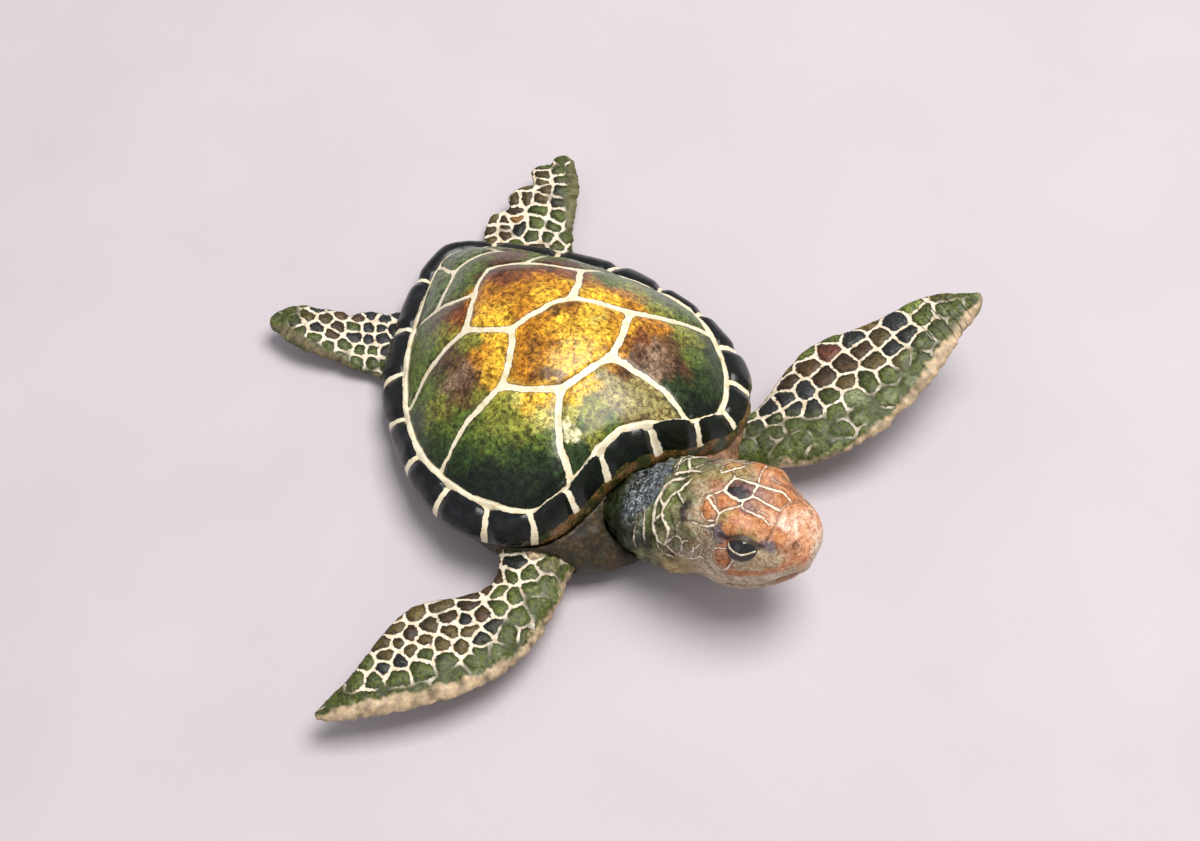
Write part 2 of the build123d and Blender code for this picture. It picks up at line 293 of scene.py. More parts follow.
def set_places(piece, points):
    """Puts the vertices at new places in millimetres."""
    piece.data.vertices.foreach_set("co", (points * mm).ravel())
    piece.data.update()


def relax(piece, rounds, chosen=None):
    """Evens out the small steps that the remesh leaves, everywhere or where chosen."""
    form = bmesh.new()
    form.from_mesh(piece.data)
    form.verts.ensure_lookup_table()
    some = form.verts if chosen is None else [form.verts[index] for index in np.nonzero(chosen)[0]]
    for _ in range(rounds):
        bmesh.ops.smooth_vert(form, verts=some, factor=0.5, use_axis_x=True, use_axis_y=True, use_axis_z=True)
    form.to_mesh(piece.data)
    form.free()


def store(piece, name, values):
    """Keeps one value, or one colour, for every vertex."""
    values = np.asarray(values, float)
    if values.ndim == 1:
        layer = piece.data.attributes.new(name, "FLOAT", "POINT")
        layer.data.foreach_set("value", values)
    else:
        layer = piece.data.color_attributes.new(name, "FLOAT_COLOR", "POINT")
        layer.data.foreach_set("color", np.hstack([values, np.ones((len(values), 1))]).ravel())


def drift(points, size, seed):
    """Smooth random values between -1 and 1 that wander over about this size."""
    lattice = np.random.default_rng(seed).uniform(-1, 1, (24, 24, 24))
    spot = points / size + 500
    cell = np.floor(spot).astype(int)
    part = spot - cell
    part = part * part * (3 - 2 * part)
    total = np.zeros(len(points))
    for corner in range(8):
        step = np.array([corner & 1, corner >> 1 & 1, corner >> 2 & 1])
        share = np.prod(np.where(step == 1, part, 1 - part), axis=1)
        index = (cell + step) % 24
        total += share * lattice[index[:, 0], index[:, 1], index[:, 2]]
    return total


def strayed(points, waves, axes=2, seed_step=1):
    """How far each point strays along each axis, from waves of height, size and first seed."""
    return np.stack([sum(height * drift(points, size, seed + seed_step * axis) for height, size, seed in waves)
                     for axis in range(axes)], axis=1)


def ease(values, low, high):
    """0 at the low value, 1 at the high one, with soft ends."""
    share = np.clip((values - low) / (high - low), 0, 1)
    return share * share * (3 - 2 * share)


def soft_line(points, steps=6):
    """A smooth line through given points."""
    points = np.asarray(points, float)
    padded = np.vstack([2 * points[0] - points[1], points, 2 * points[-1] - points[-2]])
    made = []
    for first in range(len(points) - 1):
        a, b, c, d = padded[first:first + 4]
        for t in np.arange(steps) / steps:
            made.append(0.5 * (2 * b + (c - a) * t + (2 * a - 5 * b + 4 * c - d) * t ** 2
                               + (3 * b - a - 3 * c + d) * t ** 3))
    made.append(points[-1])
    return np.array(made)


def to_line(points, line):
    """Distance from each point to a line, and how far along the line it is, from 0 to 1."""
    best = np.full(len(points), 1e9)
    along = np.zeros(len(points))
    lengths = np.linalg.norm(np.diff(line, axis=0), axis=1)
    travelled = np.concatenate([[0], np.cumsum(lengths)])
    for index, (start, end) in enumerate(zip(line, line[1:])):
        run = end - start
        share = np.clip(((points - start) @ run) / (run @ run), 0, 1)
        gap = np.linalg.norm(points - start - share[:, None] * run, axis=1)
        nearer = gap < best
        best[nearer] = gap[nearer]
        along[nearer] = (travelled[index] + share[nearer] * lengths[index]) / travelled[-1]
    return best, along


# Seams between the plates, along and across the shell.
dome_seams = [
    [(9.9, -15.2), (14.2, -11.2), (17.5, -6.3)],
    [(17.5, -6.3), (17.3, -1.2), (16.4, 6.2)],
    [(16.4, 6.2), (13.6, 10.3), (7.7, 16.1)],
    [(7.7, 16.1), (4.6, 12.7), (-0.3, 7.4)],
    [(-0.3, 7.4), (-0.7, 1.7), (-0.1, -3.9), (0.2, -7.4)],
    [(0.2, -7.4), (3.5, -9.2), (7.3, -12.3), (9.9, -15.2)],
    [(0.2, -7.4), (-3.6, -10.7), (-7.8, -14.1)],
    [(-7.8, -14.1), (-11.3, -10.8), (-15.4, -7.4)],
    [(-15.4, -7.4), (-18.4, -4.8), (-21.0, -1.0)],
    [(-21.0, -1.0), (-19.6, 2.2), (-17.0, 6.0), (-13.0, 10.7), (-9.5, 15.0)],
    [(-0.3, 7.4), (-3.6, 10.8), (-9.5, 15.0)],
    [(-9.5, 15.0), (-10.3, 20.0), (-9.6, 25.0), (-8.0, 31.0)],
    [(-7.8, -14.1), (-8.2, -19.1), (-7.7, -23.7), (-5.7, -27.7), (-4.0, -33.0)],
    [(-15.4, -7.4), (-17.8, -10.7), (-21.5, -13.8), (-23.5, -17.0), (-26.0, -21.0)],
    [(-17.0, 6.0), (-18.8, 9.5), (-21.5, 13.8), (-23.5, 17.0), (-26.0, 21.0)],
    [(-21.5, -13.8), (-25.0, -9.0), (-28.5, -5.6)],
    [(-21.5, 13.8), (-25.0, 9.0), (-28.5, 5.6)],
    [(-28.5, -5.6), (-29.2, 0.0), (-28.5, 5.6)],
    [(-28.5, -5.6), (-33.0, -5.6), (-41.0, -4.8)],
    [(-28.5, 5.6), (-33.0, 5.6), (-41.0, 4.8)],
    [(9.9, -15.2), (10.1, -20.5), (11.2, -25.8), (12.8, -30.2), (14.0, -35.0)],
    [(17.5, -6.3), (21.5, -9.2), (27.0, -11.8), (31.8, -13.0), (36.0, -13.8)],
    [(16.4, 6.2), (20.7, 9.3), (25.1, 11.8), (28.8, 12.9), (31.0, 13.6), (35.0, 14.6)],
    [(7.7, 16.1), (9.5, 21.1), (11.1, 26.2), (12.8, 30.9), (14.0, 35.5)],
]
border_points = [
    (29.9, 0.0), (31.0, 5.2), (33.6, 15.1), (32.3, 22.7), (25.7, 28.3), (16.8, 31.9), (7.0, 33.1), (-3.8, 30.5),
    (-15.6, 24.6), (-25.0, 17.7), (-33.6, 8.8), (-38.0, 3.4), (-38.8, 0.0), (-38.0, -3.4), (-33.6, -8.8),
    (-25.0, -17.7), (-15.6, -24.6), (-3.8, -30.5), (7.0, -33.1), (16.8, -31.9), (25.7, -28.3), (32.3, -22.7),
    (33.6, -15.1), (31.0, -5.2), (29.9, 0.0),
]
border = soft_line(border_points)

# Paints, as linear colours.
cream = (0.90, 0.80, 0.58)
thin_cream = (0.78, 0.64, 0.38)
thick_cream = (0.95, 0.88, 0.70)
gold = (0.70, 0.38, 0.030)
amber = (0.42, 0.165, 0.012)
rust = (0.20, 0.050, 0.010)
umber = (0.085, 0.036, 0.014)
mauve = (0.21, 0.125, 0.075)
khaki = (0.27, 0.215, 0.075)
straw = (0.42, 0.37, 0.10)
moss = (0.20, 0.20, 0.028)
leaf = (0.075, 0.11, 0.016)
forest = (0.018, 0.034, 0.008)
sage = (0.085, 0.115, 0.045)
ink = (0.005, 0.009, 0.004)

# Where each sponge dab of paint went: middle, spread, paint.
dome_dabs = [
    (13.5, -2.0, 2.6, gold), (9.0, 3.5, 3.4, gold), (4.6, 9.5, 2.6, gold), (5.6, 2.0, 2.8, gold),
    (11.5, 6.5, 2.2, gold), (6.5, -8.5, 2.2, amber), (11.0, -10.5, 2.0, amber), (14.8, -6.2, 1.5, mauve),
    (13.0, -8.4, 1.2, umber), (14.8, 3.6, 1.8, gold), (2.0, -2.0, 2.6, amber), (8.8, 12.0, 2.0, amber),
    (3.0, 5.8, 1.5, rust), (4.0, -5.6, 1.8, amber), (9.5, -3.0, 2.0, amber), (7.6, 7.6, 1.4, straw),
    (10.0, 0.6, 1.2, straw), (1.4, 1.6, 1.6, umber), (7.0, -5.8, 1.2, umber), (-3.0, -2.0, 2.4, amber),
    (-4.0, 2.6, 2.2, gold), (-6.5, 5.0, 2.6, amber), (-6.0, -7.0, 2.4, gold), (-10.0, -4.0, 2.6, amber),
    (-9.0, 0.6, 2.2, amber), (-12.5, 3.0, 2.8, rust), (-16.5, 0.0, 2.6, umber), (-13.6, -6.6, 2.2, amber),
    (-8.6, 10.0, 2.4, rust), (-18.6, -2.4, 2.0, umber), (-3.5, -9.0, 1.6, gold), (-12.6, 8.2, 2.0, umber),
    (-16.0, 4.8, 1.6, leaf), (-5.4, 9.0, 1.4, gold), (-14.0, -2.0, 2.0, rust),
    (4.0, -12.2, 2.0, gold), (-1.0, -11.8, 2.0, gold), (7.6, -15.4, 1.8, gold), (1.0, -15.6, 2.2, amber),
    (5.4, -18.6, 2.0, umber), (-3.6, -15.4, 2.0, moss), (2.0, -20.6, 2.6, mauve), (5.6, -22.6, 2.2, umber),
    (-3.4, -20.4, 2.4, umber), (8.2, -20.0, 1.6, moss), (-3.5, -25.4, 2.8, leaf), (3.0, -26.0, 2.6, moss),
    (8.4, -26.6, 2.4, leaf), (9.6, -31.0, 2.6, forest), (2.0, -31.0, 3.0, forest), (-12.0, -13.0, 2.2, rust),
    (-12.4, -17.0, 2.6, moss), (-17.6, -14.0, 2.6, umber), (-14.0, -22.0, 3.4, leaf),
    (-20.6, -17.6, 3.2, leaf), (-20.0, -8.0, 2.6, leaf), (-25.0, -12.0, 3.4, sage), (-25.0, -3.0, 3.6, leaf),
    (-22.0, 2.0, 2.0, umber), (-33.0, -9.0, 4.0, leaf), (-33.0, 0.0, 4.0, sage), (-27.0, 6.0, 3.0, umber),
    (-33.0, 9.0, 4.0, leaf), (12.2, -16.6, 2.0, moss), (16.4, -11.6, 2.2, gold), (13.2, -13.8, 1.6, straw),
    (19.6, -12.4, 2.0, straw), (14.6, -19.6, 2.4, moss), (18.6, -16.2, 2.4, moss), (23.2, -14.6, 2.0, leaf),
    (12.6, -24.0, 2.2, leaf), (18.0, -21.6, 2.6, leaf), (23.4, -20.0, 2.8, forest), (16.0, -27.6, 2.8, forest),
    (22.0, -26.0, 2.8, ink), (18.0, -31.5, 3.0, ink), (27.4, -17.6, 2.2, forest), (28.0, -23.6, 3.4, ink),
    (31.0, -16.8, 2.2, ink),
    (19.4, -5.6, 1.8, gold), (20.0, -1.0, 1.8, gold), (19.2, 3.4, 1.6, khaki), (18.2, 6.4, 1.4, amber),
    (22.6, -7.6, 1.8, straw), (23.4, -3.0, 1.8, moss), (26.4, -8.6, 1.6, leaf), (27.2, -5.0, 1.6, moss),
    (29.6, -8.6, 1.6, forest), (31.2, -11.6, 1.6, forest), (23.6, 2.6, 2.2, khaki), (27.4, 3.4, 2.2, khaki),
    (24.4, 8.0, 2.2, khaki), (28.8, 8.6, 2.0, khaki), (29.6, -1.0, 1.8, leaf), (31.2, 4.6, 1.6, umber),
    (20.6, 7.0, 1.6, umber),
    (14.2, 8.6, 1.8, amber), (10.6, 13.4, 1.8, gold), (17.6, 10.6, 1.8, umber), (13.6, 14.6, 2.0, rust),
    (17.6, 15.2, 2.4, mauve), (21.6, 13.4, 2.0, mauve), (12.4, 19.0, 2.4, amber), (16.6, 20.4, 2.4, umber),
    (22.4, 18.2, 2.4, umber), (20.6, 23.2, 2.8, leaf), (14.6, 25.6, 2.8, moss), (26.8, 16.4, 2.4, forest),
    (26.6, 22.6, 3.0, forest), (19.0, 29.4, 3.0, forest), (31.0, 18.0, 2.6, ink), (12.4, 31.0, 2.4, leaf),
    (4.6, 14.6, 2.0, gold), (1.0, 11.6, 2.0, gold), (-3.0, 13.6, 1.8, amber), (6.6, 18.6, 2.0, amber),
    (2.4, 18.4, 2.2, amber), (-4.0, 17.6, 2.2, leaf), (-0.6, 21.6, 2.4, moss), (6.4, 24.0, 2.6, moss),
    (-4.4, 24.0, 2.8, leaf), (2.6, 28.4, 3.0, sage), (8.4, 29.4, 2.8, leaf), (-5.6, 28.4, 2.6, leaf),
    (-12.4, 14.6, 2.2, umber), (-14.6, 19.6, 3.0, leaf), (-19.6, 14.6, 2.6, leaf), (-22.0, 18.6, 3.4, leaf),
]


def dabbed(spots, dabs, hardness, least):
    """The paint at each spot, from overlapping sponge dabs: middle, spread, paint."""
    total = np.full(len(spots), 1e-9)
    paint = np.zeros((len(spots), 3))
    for *middle, spread, colour in dabs:
        share = np.exp(-hardness * ((spots - np.array(middle)) ** 2).sum(axis=1) / spread ** 2) + least
        total += share
        paint += share[:, None] * np.array(colour)
    return paint / total[:, None]


def laid_over(paint, colour, share):
    """One paint laid over another by a share at each point."""
    return paint * (1 - share[:, None]) + np.array(colour) * share[:, None]


dome = cast_copy("shell_dome", "shell_dome_glazed", shell_cell)
points = places(dome)
edge_gap = to_line(points[:, :2], border)[0]
on_top = (facing(dome)[:, 2] > 0.25) & (edge_gap > border_margin)


def fair_height(points, known, powers=9):
    """Heights of one smooth surface through the known points."""
    def terms(spots):
        x = spots[:, 0] / 45
        y = spots[:, 1] / 40
        return np.stack([x ** i * y ** j for i in range(powers) for j in range(powers - i)], axis=1)
    share = np.linalg.lstsq(terms(points[known]), points[known][:, 2], rcond=None)[0]
    return terms(points) @ share


# The cast grooves are filled again, so that the painted seams can wander off them.
cad_seams = [
    (34.9, 15.0), (17.1, 6.3), (9.4, 15.2), (0.0, 6.9), (-7.5, 14.4), (-16.8, 6.7), (-20.1, 12.6), (-27.7, 5.9),
    (-38.6, 5.0),
]
cast_grooves = [np.array([(x, y * side) for x, y in cad_seams]) for side in (1, -1)]
for first, last in (((9.4, 15.2), (13.7, 33.6)), ((-7.5, 14.4), (-7.6, 30.2)), ((-20.1, 12.6), (-22.0, 16.0)),
                    ((-22.0, 16.0), (-24.4, 18.1))):
    for side in (1, -1):
        cast_grooves.append(np.array([(first[0], first[1] * side), (last[0], last[1] * side)]))
for x, y in ((17.1, 6.3), (0.0, 6.9), (-16.8, 6.7), (-27.7, 5.9)):
    cast_grooves.append(np.array([(x, y), (x, -y)]))
groove_gap = np.min([to_line(points[:, :2], line)[0] for line in cast_grooves], axis=0)
smooth_height = fair_height(points, on_top & (groove_gap > cast_groove_reach))
filled = on_top & (groove_gap < filled_reach)
points[filled, 2] = smooth_height[filled]
set_places(dome, points)
relax(dome, 3)

# The plates swell between the seams, and the seams wander a little.
points = places(dome)
wavy = points[:, :2] + strayed(points, ((0.28, 3.0, 11), (0.10, 0.9, 12)), seed_step=2)
gaps = np.array([to_line(wavy, soft_line(line))[0] for line in dome_seams])
seam = -seam_merge * np.log(np.exp(-np.minimum(gaps, 30) / seam_merge).sum(axis=0))
edge = to_line(wavy, border)[0]
nearest = np.minimum(seam, edge + 0.5)
normals = facing(dome)
top = ease(normals[:, 2], 0.05, 0.35)
pillow = dome_plate_rise * ease(nearest, 0.55, 3.6) + dome_plate_shoulder * ease(nearest, 0.55, 1.2)
lumps = 0.10 * drift(points, 5.0, 21) + 0.05 * drift(points, 2.4, 22)
points += normals * (top * (pillow - dome_groove_depth + lumps * ease(nearest, 0.5, 2.5)))[:, None]
set_places(dome, points)
relax(dome, 1)
points = places(dome)
far = ease(-points[:, 0], 6, 22) + ease(-points[:, 1], 20, 30)
store(dome, "seam", seam + 0.26 * np.clip(far, 0, 1) + 0.08 * drift(points, 4.0, 37))
store(dome, "edge", edge / np.clip(facing(dome)[:, 2], 0.35, 1))
ragged = points[:, :2] + strayed(points, ((1.5, 2.2, 31), (1.2, 0.9, 32)), seed_step=7)
paint = dabbed(ragged, dome_dabs, 1.0, 1e-9)
# A painted reflection of the window: a flaky pale patch on the front plate.
reflection_gap = np.hypot(points[:, 0] - 25.6, (points[:, 1] + 8.9) * 1.5)
reflection_gap += 0.9 * drift(points, 1.1, 33) + 0.6 * drift(points, 0.5, 34)
paint = laid_over(paint, reflection_paint, ease(-reflection_gap, -2.9, -2.2))
tone = 1 + 0.30 * drift(points, 1.6, 35) + 0.20 * drift(points, 0.8, 36)
store(dome, "paint", np.clip(paint * tone[:, None], 0, 1))
dome.data.shade_smooth()


def attribute(tree, name, output="Fac"):
    """A value or a colour that is kept on the vertices."""
    return add(tree, "ShaderNodeAttribute", attribute_name=name).outputs[output]


def scaled(tree, source, low, high, to_low=0.0, to_high=1.0):
    """A value moved from one range to another and kept inside it."""
    return add(tree, "ShaderNodeMapRange", Value=source, From_Min=low, From_Max=high, To_Min=to_low,
               To_Max=to_high).outputs["Result"]


def mixed(tree, share, first, second, blend="MIX"):
    """Two colours mixed by a share. Colours and shares are sockets or values."""
    node = add(tree, "ShaderNodeMix", data_type="RGBA", blend_type=blend)
    for number, value in ((0, share), (6, first), (7, second)):
        join(tree, value, node.inputs[number])
    return node.outputs[2]


# Sponged dabs that lighten or darken a paint where a value lies beyond a limit.
sponged_tint, given, result = node_group(
    "sponged_tint", "Color", "Color", Value="Float", From="Float", To="Float", Most="Float", Under="Color",
    Paint="Color", Tint="Color")
share = scaled(sponged_tint, given["Value"], given["From"], given["To"], 0.0, given["Most"])
tint = mixed(sponged_tint, 1.0, given["Paint"], given["Tint"], "MULTIPLY")
join(sponged_tint, mixed(sponged_tint, share, given["Under"], tint), result)

# The ragged edge of a brushed line: its distance with a little noise added.
wandering_line, given, result = node_group(
    "wandering_line", "Distance", "Float", Distance="Float", Cells_per_mm="Float", Detail="Float",
    Roughness="Float", Wander="Float")
stray = noise(wandering_line, given["Cells per mm"], given["Detail"], given["Roughness"])
stray = scaled(wandering_line, stray, 0.3, 0.7, maths(wandering_line, "MULTIPLY", given["Wander"], -1.0),
               given["Wander"])
join(wandering_line, maths(wandering_line, "ADD", given["Distance"], stray), result)

# Cream paint that lies thin and brown in one place and thick and pale in another.
worn_cream, given, result = node_group(
    "worn_cream", "Color", "Color", Cells_per_mm="Float", Thin="Color", Full="Color", Thick="Color")
thickness = noise(worn_cream, given["Cells per mm"], 3.0)
thin_or_full = mixed(worn_cream, scaled(worn_cream, thickness, 0.3, 0.5), given["Thin"], given["Full"])
join(worn_cream, mixed(worn_cream, scaled(worn_cream, thickness, 0.5, 0.8), thin_or_full, given["Thick"]), result)


def tinted(tree, value, limits, under, paint, tint):
    """Sponged dabs over a colour: where they start, where they are full, and the most they cover."""
    return use(tree, sponged_tint, Value=value, From=limits[0], To=limits[1], Most=limits[2], Under=under,
               Paint=paint, Tint=tint)


def wandered(tree, distance, cells_per_mm, detail, roughness, wander):
    """A distance with a ragged edge."""
    return use(tree, wandering_line, Distance=distance, Cells_per_mm=cells_per_mm, Detail=detail,
               Roughness=roughness, Wander=wander)


glaze, tree, shader = new_material("shell_glaze")
base = attribute(tree, "paint", "Color")
sponge = noise(tree, 0.95, 8.0, 0.78, 0.5)
fine = noise(tree, 3.0, 5.0, 0.75)
colour = tinted(tree, sponge, (0.50, 0.60, 1.0), base, base, (1.9, 2.1, 2.2))
colour = tinted(tree, sponge, (0.49, 0.42, 1.0), colour, base, (0.34, 0.30, 0.24))
colour = tinted(tree, fine, (0.55, 0.66, 0.70), colour, colour, (1.7, 1.8, 2.0))
colour = tinted(tree, fine, (0.45, 0.35, 0.75), colour, colour, (0.30, 0.26, 0.20))
line = maths(tree, "MINIMUM", attribute(tree, "seam"), maths(tree, "ADD", attribute(tree, "edge"), 0.05))
line = wandered(tree, line, 1.1, 3.0, 0.5, 0.12)
cream_run = use(tree, worn_cream, Cells_per_mm=0.7, Thin=thin_cream, Full=cream, Thick=thick_cream)
colour = mixed(tree, scaled(tree, line, 0.98, 0.68, 0, 0.72), colour, groove_shade)
colour = mixed(tree, scaled(tree, line, 0.70, 0.60), colour, cream_run)
finish(tree, shader, colour, scaled(tree, fine, 0.3, 0.7, 0.20, 0.34), (0.9, 5.0, 0.62, 0.6, 0.22),
       Specular_IOR_Level=0.26, Coat_Weight=0.12, Coat_Roughness=0.05)
dome.data.materials.append(glaze)
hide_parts("shell_dome")
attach(dome, "root")

# Shell rim. A band of edge plates round the dome, cast with it and painted
# near black with a blue grey sheen. The ribs between the plates are raised
# runs of cream paint, and the rolled front lip is rubbed with ochre brown.
rim_plate_rise = 0.34
rim_plate_shoulder = 0.16
rim_groove_depth = 0.36
rib_rise = 0.20
rib_narrowing = 0.86
rib_raggedness = 0.14
rib_root_swell = 0.35
rib_tip_swell = 0.16
bead_rise = 0.26
bead_sink = 0.10
plate_blacks = [(0.25, (0.002, 0.0025, 0.003)), (0.55, (0.006, 0.007, 0.008)), (0.8, (0.020, 0.024, 0.028))]
plate_greens = [(0.3, (0.002, 0.003, 0.001)), (0.6, (0.006, 0.011, 0.003)), (0.8, (0.028, 0.038, 0.010))]
lip_browns = [(0.3, (0.045, 0.022, 0.006)), (0.5, (0.19, 0.095, 0.026)), (0.7, (0.38, 0.22, 0.075))]
lip_green = (0.035, 0.046, 0.010)
# Each rib: inner end, outer end, half width at both.
rim_ribs = [
    ((29.8, 5.4), (34.6, 5.9), 0.45, 0.80), ((32.8, 15.5), (37.6, 14.4), 0.50, 0.80),
    ((31.4, 22.0), (37.6, 24.2), 0.50, 0.85), ((25.2, 27.7), (31.0, 32.6), 0.50, 0.95),
    ((16.6, 30.9), (18.5, 37.2), 0.50, 1.00), ((7.1, 32.1), (5.9, 37.6), 0.50, 1.00),
    ((-3.2, 29.6), (-6.7, 34.6), 0.45, 0.95), ((-15.1, 23.8), (-17.1, 30.4), 0.45, 0.90),
    ((-24.4, 17.1), (-29.0, 21.4), 0.45, 0.90), ((-34.3, 7.4), (-39.5, 10.8), 0.45, 0.80),
]
lip_points = [
    (35.0, 0.0), (36.0, 6.0), (38.0, 16.0), (36.3, 25.0), (28.6, 33.2), (19.0, 36.7), (7.6, 37.0), (-6.4, 34.1),
    (-19.3, 28.6), (-29.0, 20.8), (-37.6, 11.6), (-42.2, 4.0), (-43.3, 0.0),
]
lip = soft_line(lip_points + [(x, -y) for x, y in lip_points[-2::-1]])
rim = cast_copy("shell_rim", "shell_rim_painted", shell_cell)
points = places(rim)
ribs = []
for start, end, narrow, wide in rim_ribs:
    for side in (1, -1):
        beyond = (end[0] + 0.14 * (end[0] - start[0]), end[1] + 0.14 * (end[1] - start[1]))
        ribs.append((np.array([(start[0], start[1] * side), (beyond[0], beyond[1] * side)]), narrow, wide))
slot_gap = np.min([to_line(points[:, :2], line)[0] for line, _, _ in ribs], axis=0)
relax(rim, 40, (slot_gap < 2.2) & (facing(rim)[:, 2] > -0.2))
relax(rim, 4)
points = places(rim)
wavy = points[:, :2] + strayed(points, ((0.22, 2.5, 41),))
rib = np.full(len(points), 30.0)
for number, (line, narrow, wide) in enumerate(ribs):
    gap, along = to_line(wavy, line)
    width = rib_narrowing * (narrow + (wide - narrow) * along ** 1.5)
    width += rib_raggedness * drift(points, 1.3, 50 + number)
    width += rib_root_swell * np.exp(-(along / 0.12) ** 2) + rib_tip_swell * np.exp(-((along - 0.9) / 0.12) ** 2)
    rib = np.minimum(rib, gap - width)
edge = to_line(wavy, border)[0]
lip_gap = to_line(points[:, :2], lip)[0]
across = edge / (edge + lip_gap)
normals = facing(rim)
top = ease(normals[:, 2], 0.0, 0.4)
line_gap = np.minimum(rib + 0.5, edge + 0.6)
pillow = rim_plate_rise * ease(line_gap, 0.4, 2.6) + rim_plate_shoulder * ease(line_gap, 0.3, 0.9) - rim_groove_depth
raised = rib_rise * ease(-rib, -0.25, 0.35)
scallop = (1 - top) * ease(normals[:, 2], -0.6, -0.2) * (0.30 * ease(rib, 0.2, 2.6) - 0.26)
lumps = 0.10 * drift(points, 3.5, 43) + 0.05 * drift(points, 1.6, 44)
points += normals * (top * (pillow + raised) + scallop + lumps)[:, None]
set_places(rim, points)
relax(rim, 1)
points = places(rim)
normals = facing(rim)
front = ease(points[:, 0], 18, 28) * ease(points[:, 1], -27, -19)
begins = 0.96 - 0.14 * front + 0.05 * drift(points, 2.0, 45)
lip_share = ease(across, begins, begins + 0.08) * (0.15 + 0.85 * front) + ease(-normals[:, 2], 0.1, 0.5)
lip_share = np.clip(lip_share, 0, 1)

# The cream run along the joint of rim and dome stands up as one thick bead.
surfaces = []
for piece in (dome, rim):
    spots = [vertex.co[:] for vertex in piece.data.vertices]
    surfaces.append(BVHTree.FromPolygons(spots, [tuple(face.vertices) for face in piece.data.polygons]))
bead_path = soft_line(border[:-1:2].tolist() + [border[0].tolist()], 8)
aside_of = np.gradient(bead_path, axis=0)
aside_of = np.stack([-aside_of[:, 1], aside_of[:, 0]], axis=1) / np.linalg.norm(aside_of, axis=1)[:, None]
bead_width = 0.54 + 0.14 * drift(np.hstack([bead_path, np.zeros((len(bead_path), 1))]), 3.0, 46)
across_steps = np.linspace(-1, 1, 9)
well_above = 60
rows = []
for spot, aside, half in zip(bead_path, aside_of, bead_width):
    row = []
    for step in across_steps:
        x, y = (spot + aside * half * step) * mm
        hits = [surface.ray_cast(Vector((x, y, well_above * mm)), Vector((0, 0, -1)))[0] for surface in surfaces]
        row.append([x / mm, y / mm, max([hit.z / mm for hit in hits if hit] + [0])])
    rows.append(row)
bead_spots = np.array(rows)
heights = bead_spots[:, :, 2]
level = heights[:, :1] * (1 - across_steps) / 2 + heights[:, -1:] * (1 + across_steps) / 2
heights = np.maximum(heights, level)
for _ in range(3):
    heights = (np.roll(heights, 1, 0) + heights + np.roll(heights, -1, 0)) / 3
bead_spots[:, :, 2] = heights + bead_rise * (1 - across_steps ** 2) - bead_sink
form = bmesh.new()
form.from_mesh(rim.data)
grid = [[form.verts.new(spot * mm) for spot in row] for row in bead_spots[:-1]]
for row, following in zip(grid, grid[1:] + grid[:1]):
    for first in range(len(row) - 1):
        form.faces.new((row[first], row[first + 1], following[first + 1], following[first]))
form.to_mesh(rim.data)
form.free()
extra = len(rim.data.vertices) - len(points)
for name, values, on_bead in (("rib", rib, -1.0), ("edge", edge, 0.0), ("lip", lip_share, 0.0), ("front", front, 0.0)):
    store(rim, name, np.concatenate([values, np.full(extra, on_bead)]))
rim.data.shade_smooth()

enamel, tree, shader = new_material("rim_enamel_paint")
on_lip = attribute(tree, "lip")
cloud = noise(tree, 0.35, 4.0, 0.6)
speck = noise(tree, 2.0, 4.0, 0.65)
green_share = maths(tree, "MULTIPLY", attribute(tree, "front"), scaled(tree, cloud, 0.35, 0.6, 0.2, 0.9))
colour = mixed(tree, green_share, ramp(tree, cloud, plate_blacks), ramp(tree, speck, plate_greens))
rubbed = mixed(tree, scaled(tree, cloud, 0.42, 0.56), ramp(tree, speck, lip_browns), lip_green)
rub_share = scaled(tree, wandered(tree, on_lip, 2.0, 4.0, 0.65, 0.25), 0.3, 0.75)
colour = mixed(tree, rub_share, colour, rubbed)
line = maths(tree, "MINIMUM", attribute(tree, "rib"), maths(tree, "SUBTRACT", attribute(tree, "edge"), 0.42))
line = wandered(tree, line, 1.3, 3.0, 0.5, 0.10)
line_share = maths(tree, "MULTIPLY", scaled(tree, line, 0.07, -0.07), scaled(tree, on_lip, 0.75, 0.95, 1.0, 0.0))
cream_run = use(tree, worn_cream, Cells_per_mm=0.6, Thin=thin_cream, Full=cream, Thick=thick_cream)
colour = mixed(tree, line_share, colour, cream_run)
finish(tree, shader, colour, scaled(tree, speck, 0.3, 0.7, 0.20, 0.38), (1.4, 4.0, 0.6, 0.4, 0.12),
       Specular_IOR_Level=0.28, Coat_Weight=0.14, Coat_Roughness=0.10)
rim.data.materials.append(enamel)
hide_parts("shell_rim")
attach(rim, "root")

# Body. The belly and shoulders under the shell, cast in one with a flat
# resting face and washed with thin ochre brown paint, with painted shade in the deep folds.
body_cell = 0.5
fold_depth = 0.42
wrinkle_depth = 0.10
wash_browns = [(0.25, (0.010, 0.006, 0.002)), (0.5, (0.042, 0.024, 0.007)), (0.75, (0.17, 0.095, 0.032))]
shoulder_pinks = [(0.3, (0.20, 0.075, 0.03)), (0.6, (0.44, 0.235, 0.13)), (0.8, (0.56, 0.38, 0.25))]
wash_green = (0.014, 0.019, 0.005)
fold_shade = (0.016, 0.012, 0.004)

body = cast_copy("body", "body_washed", body_cell)
relax(body, 2)
points = places(body)
folds = fold_depth * drift(points * np.array([1.0, 1.0, 0.5]), 2.4, 61) + wrinkle_depth * drift(points, 1.0, 62)
clear_of_table = ease(points[:, 2], 0.6, 2.5)
points += facing(body) * (clear_of_table * folds)[:, None]
set_places(body, points)
body.data.shade_smooth()
store(body, "fold", folds)
store(body, "left", ease(points[:, 1], 2, 7) * ease(points[:, 0], 20, 30))

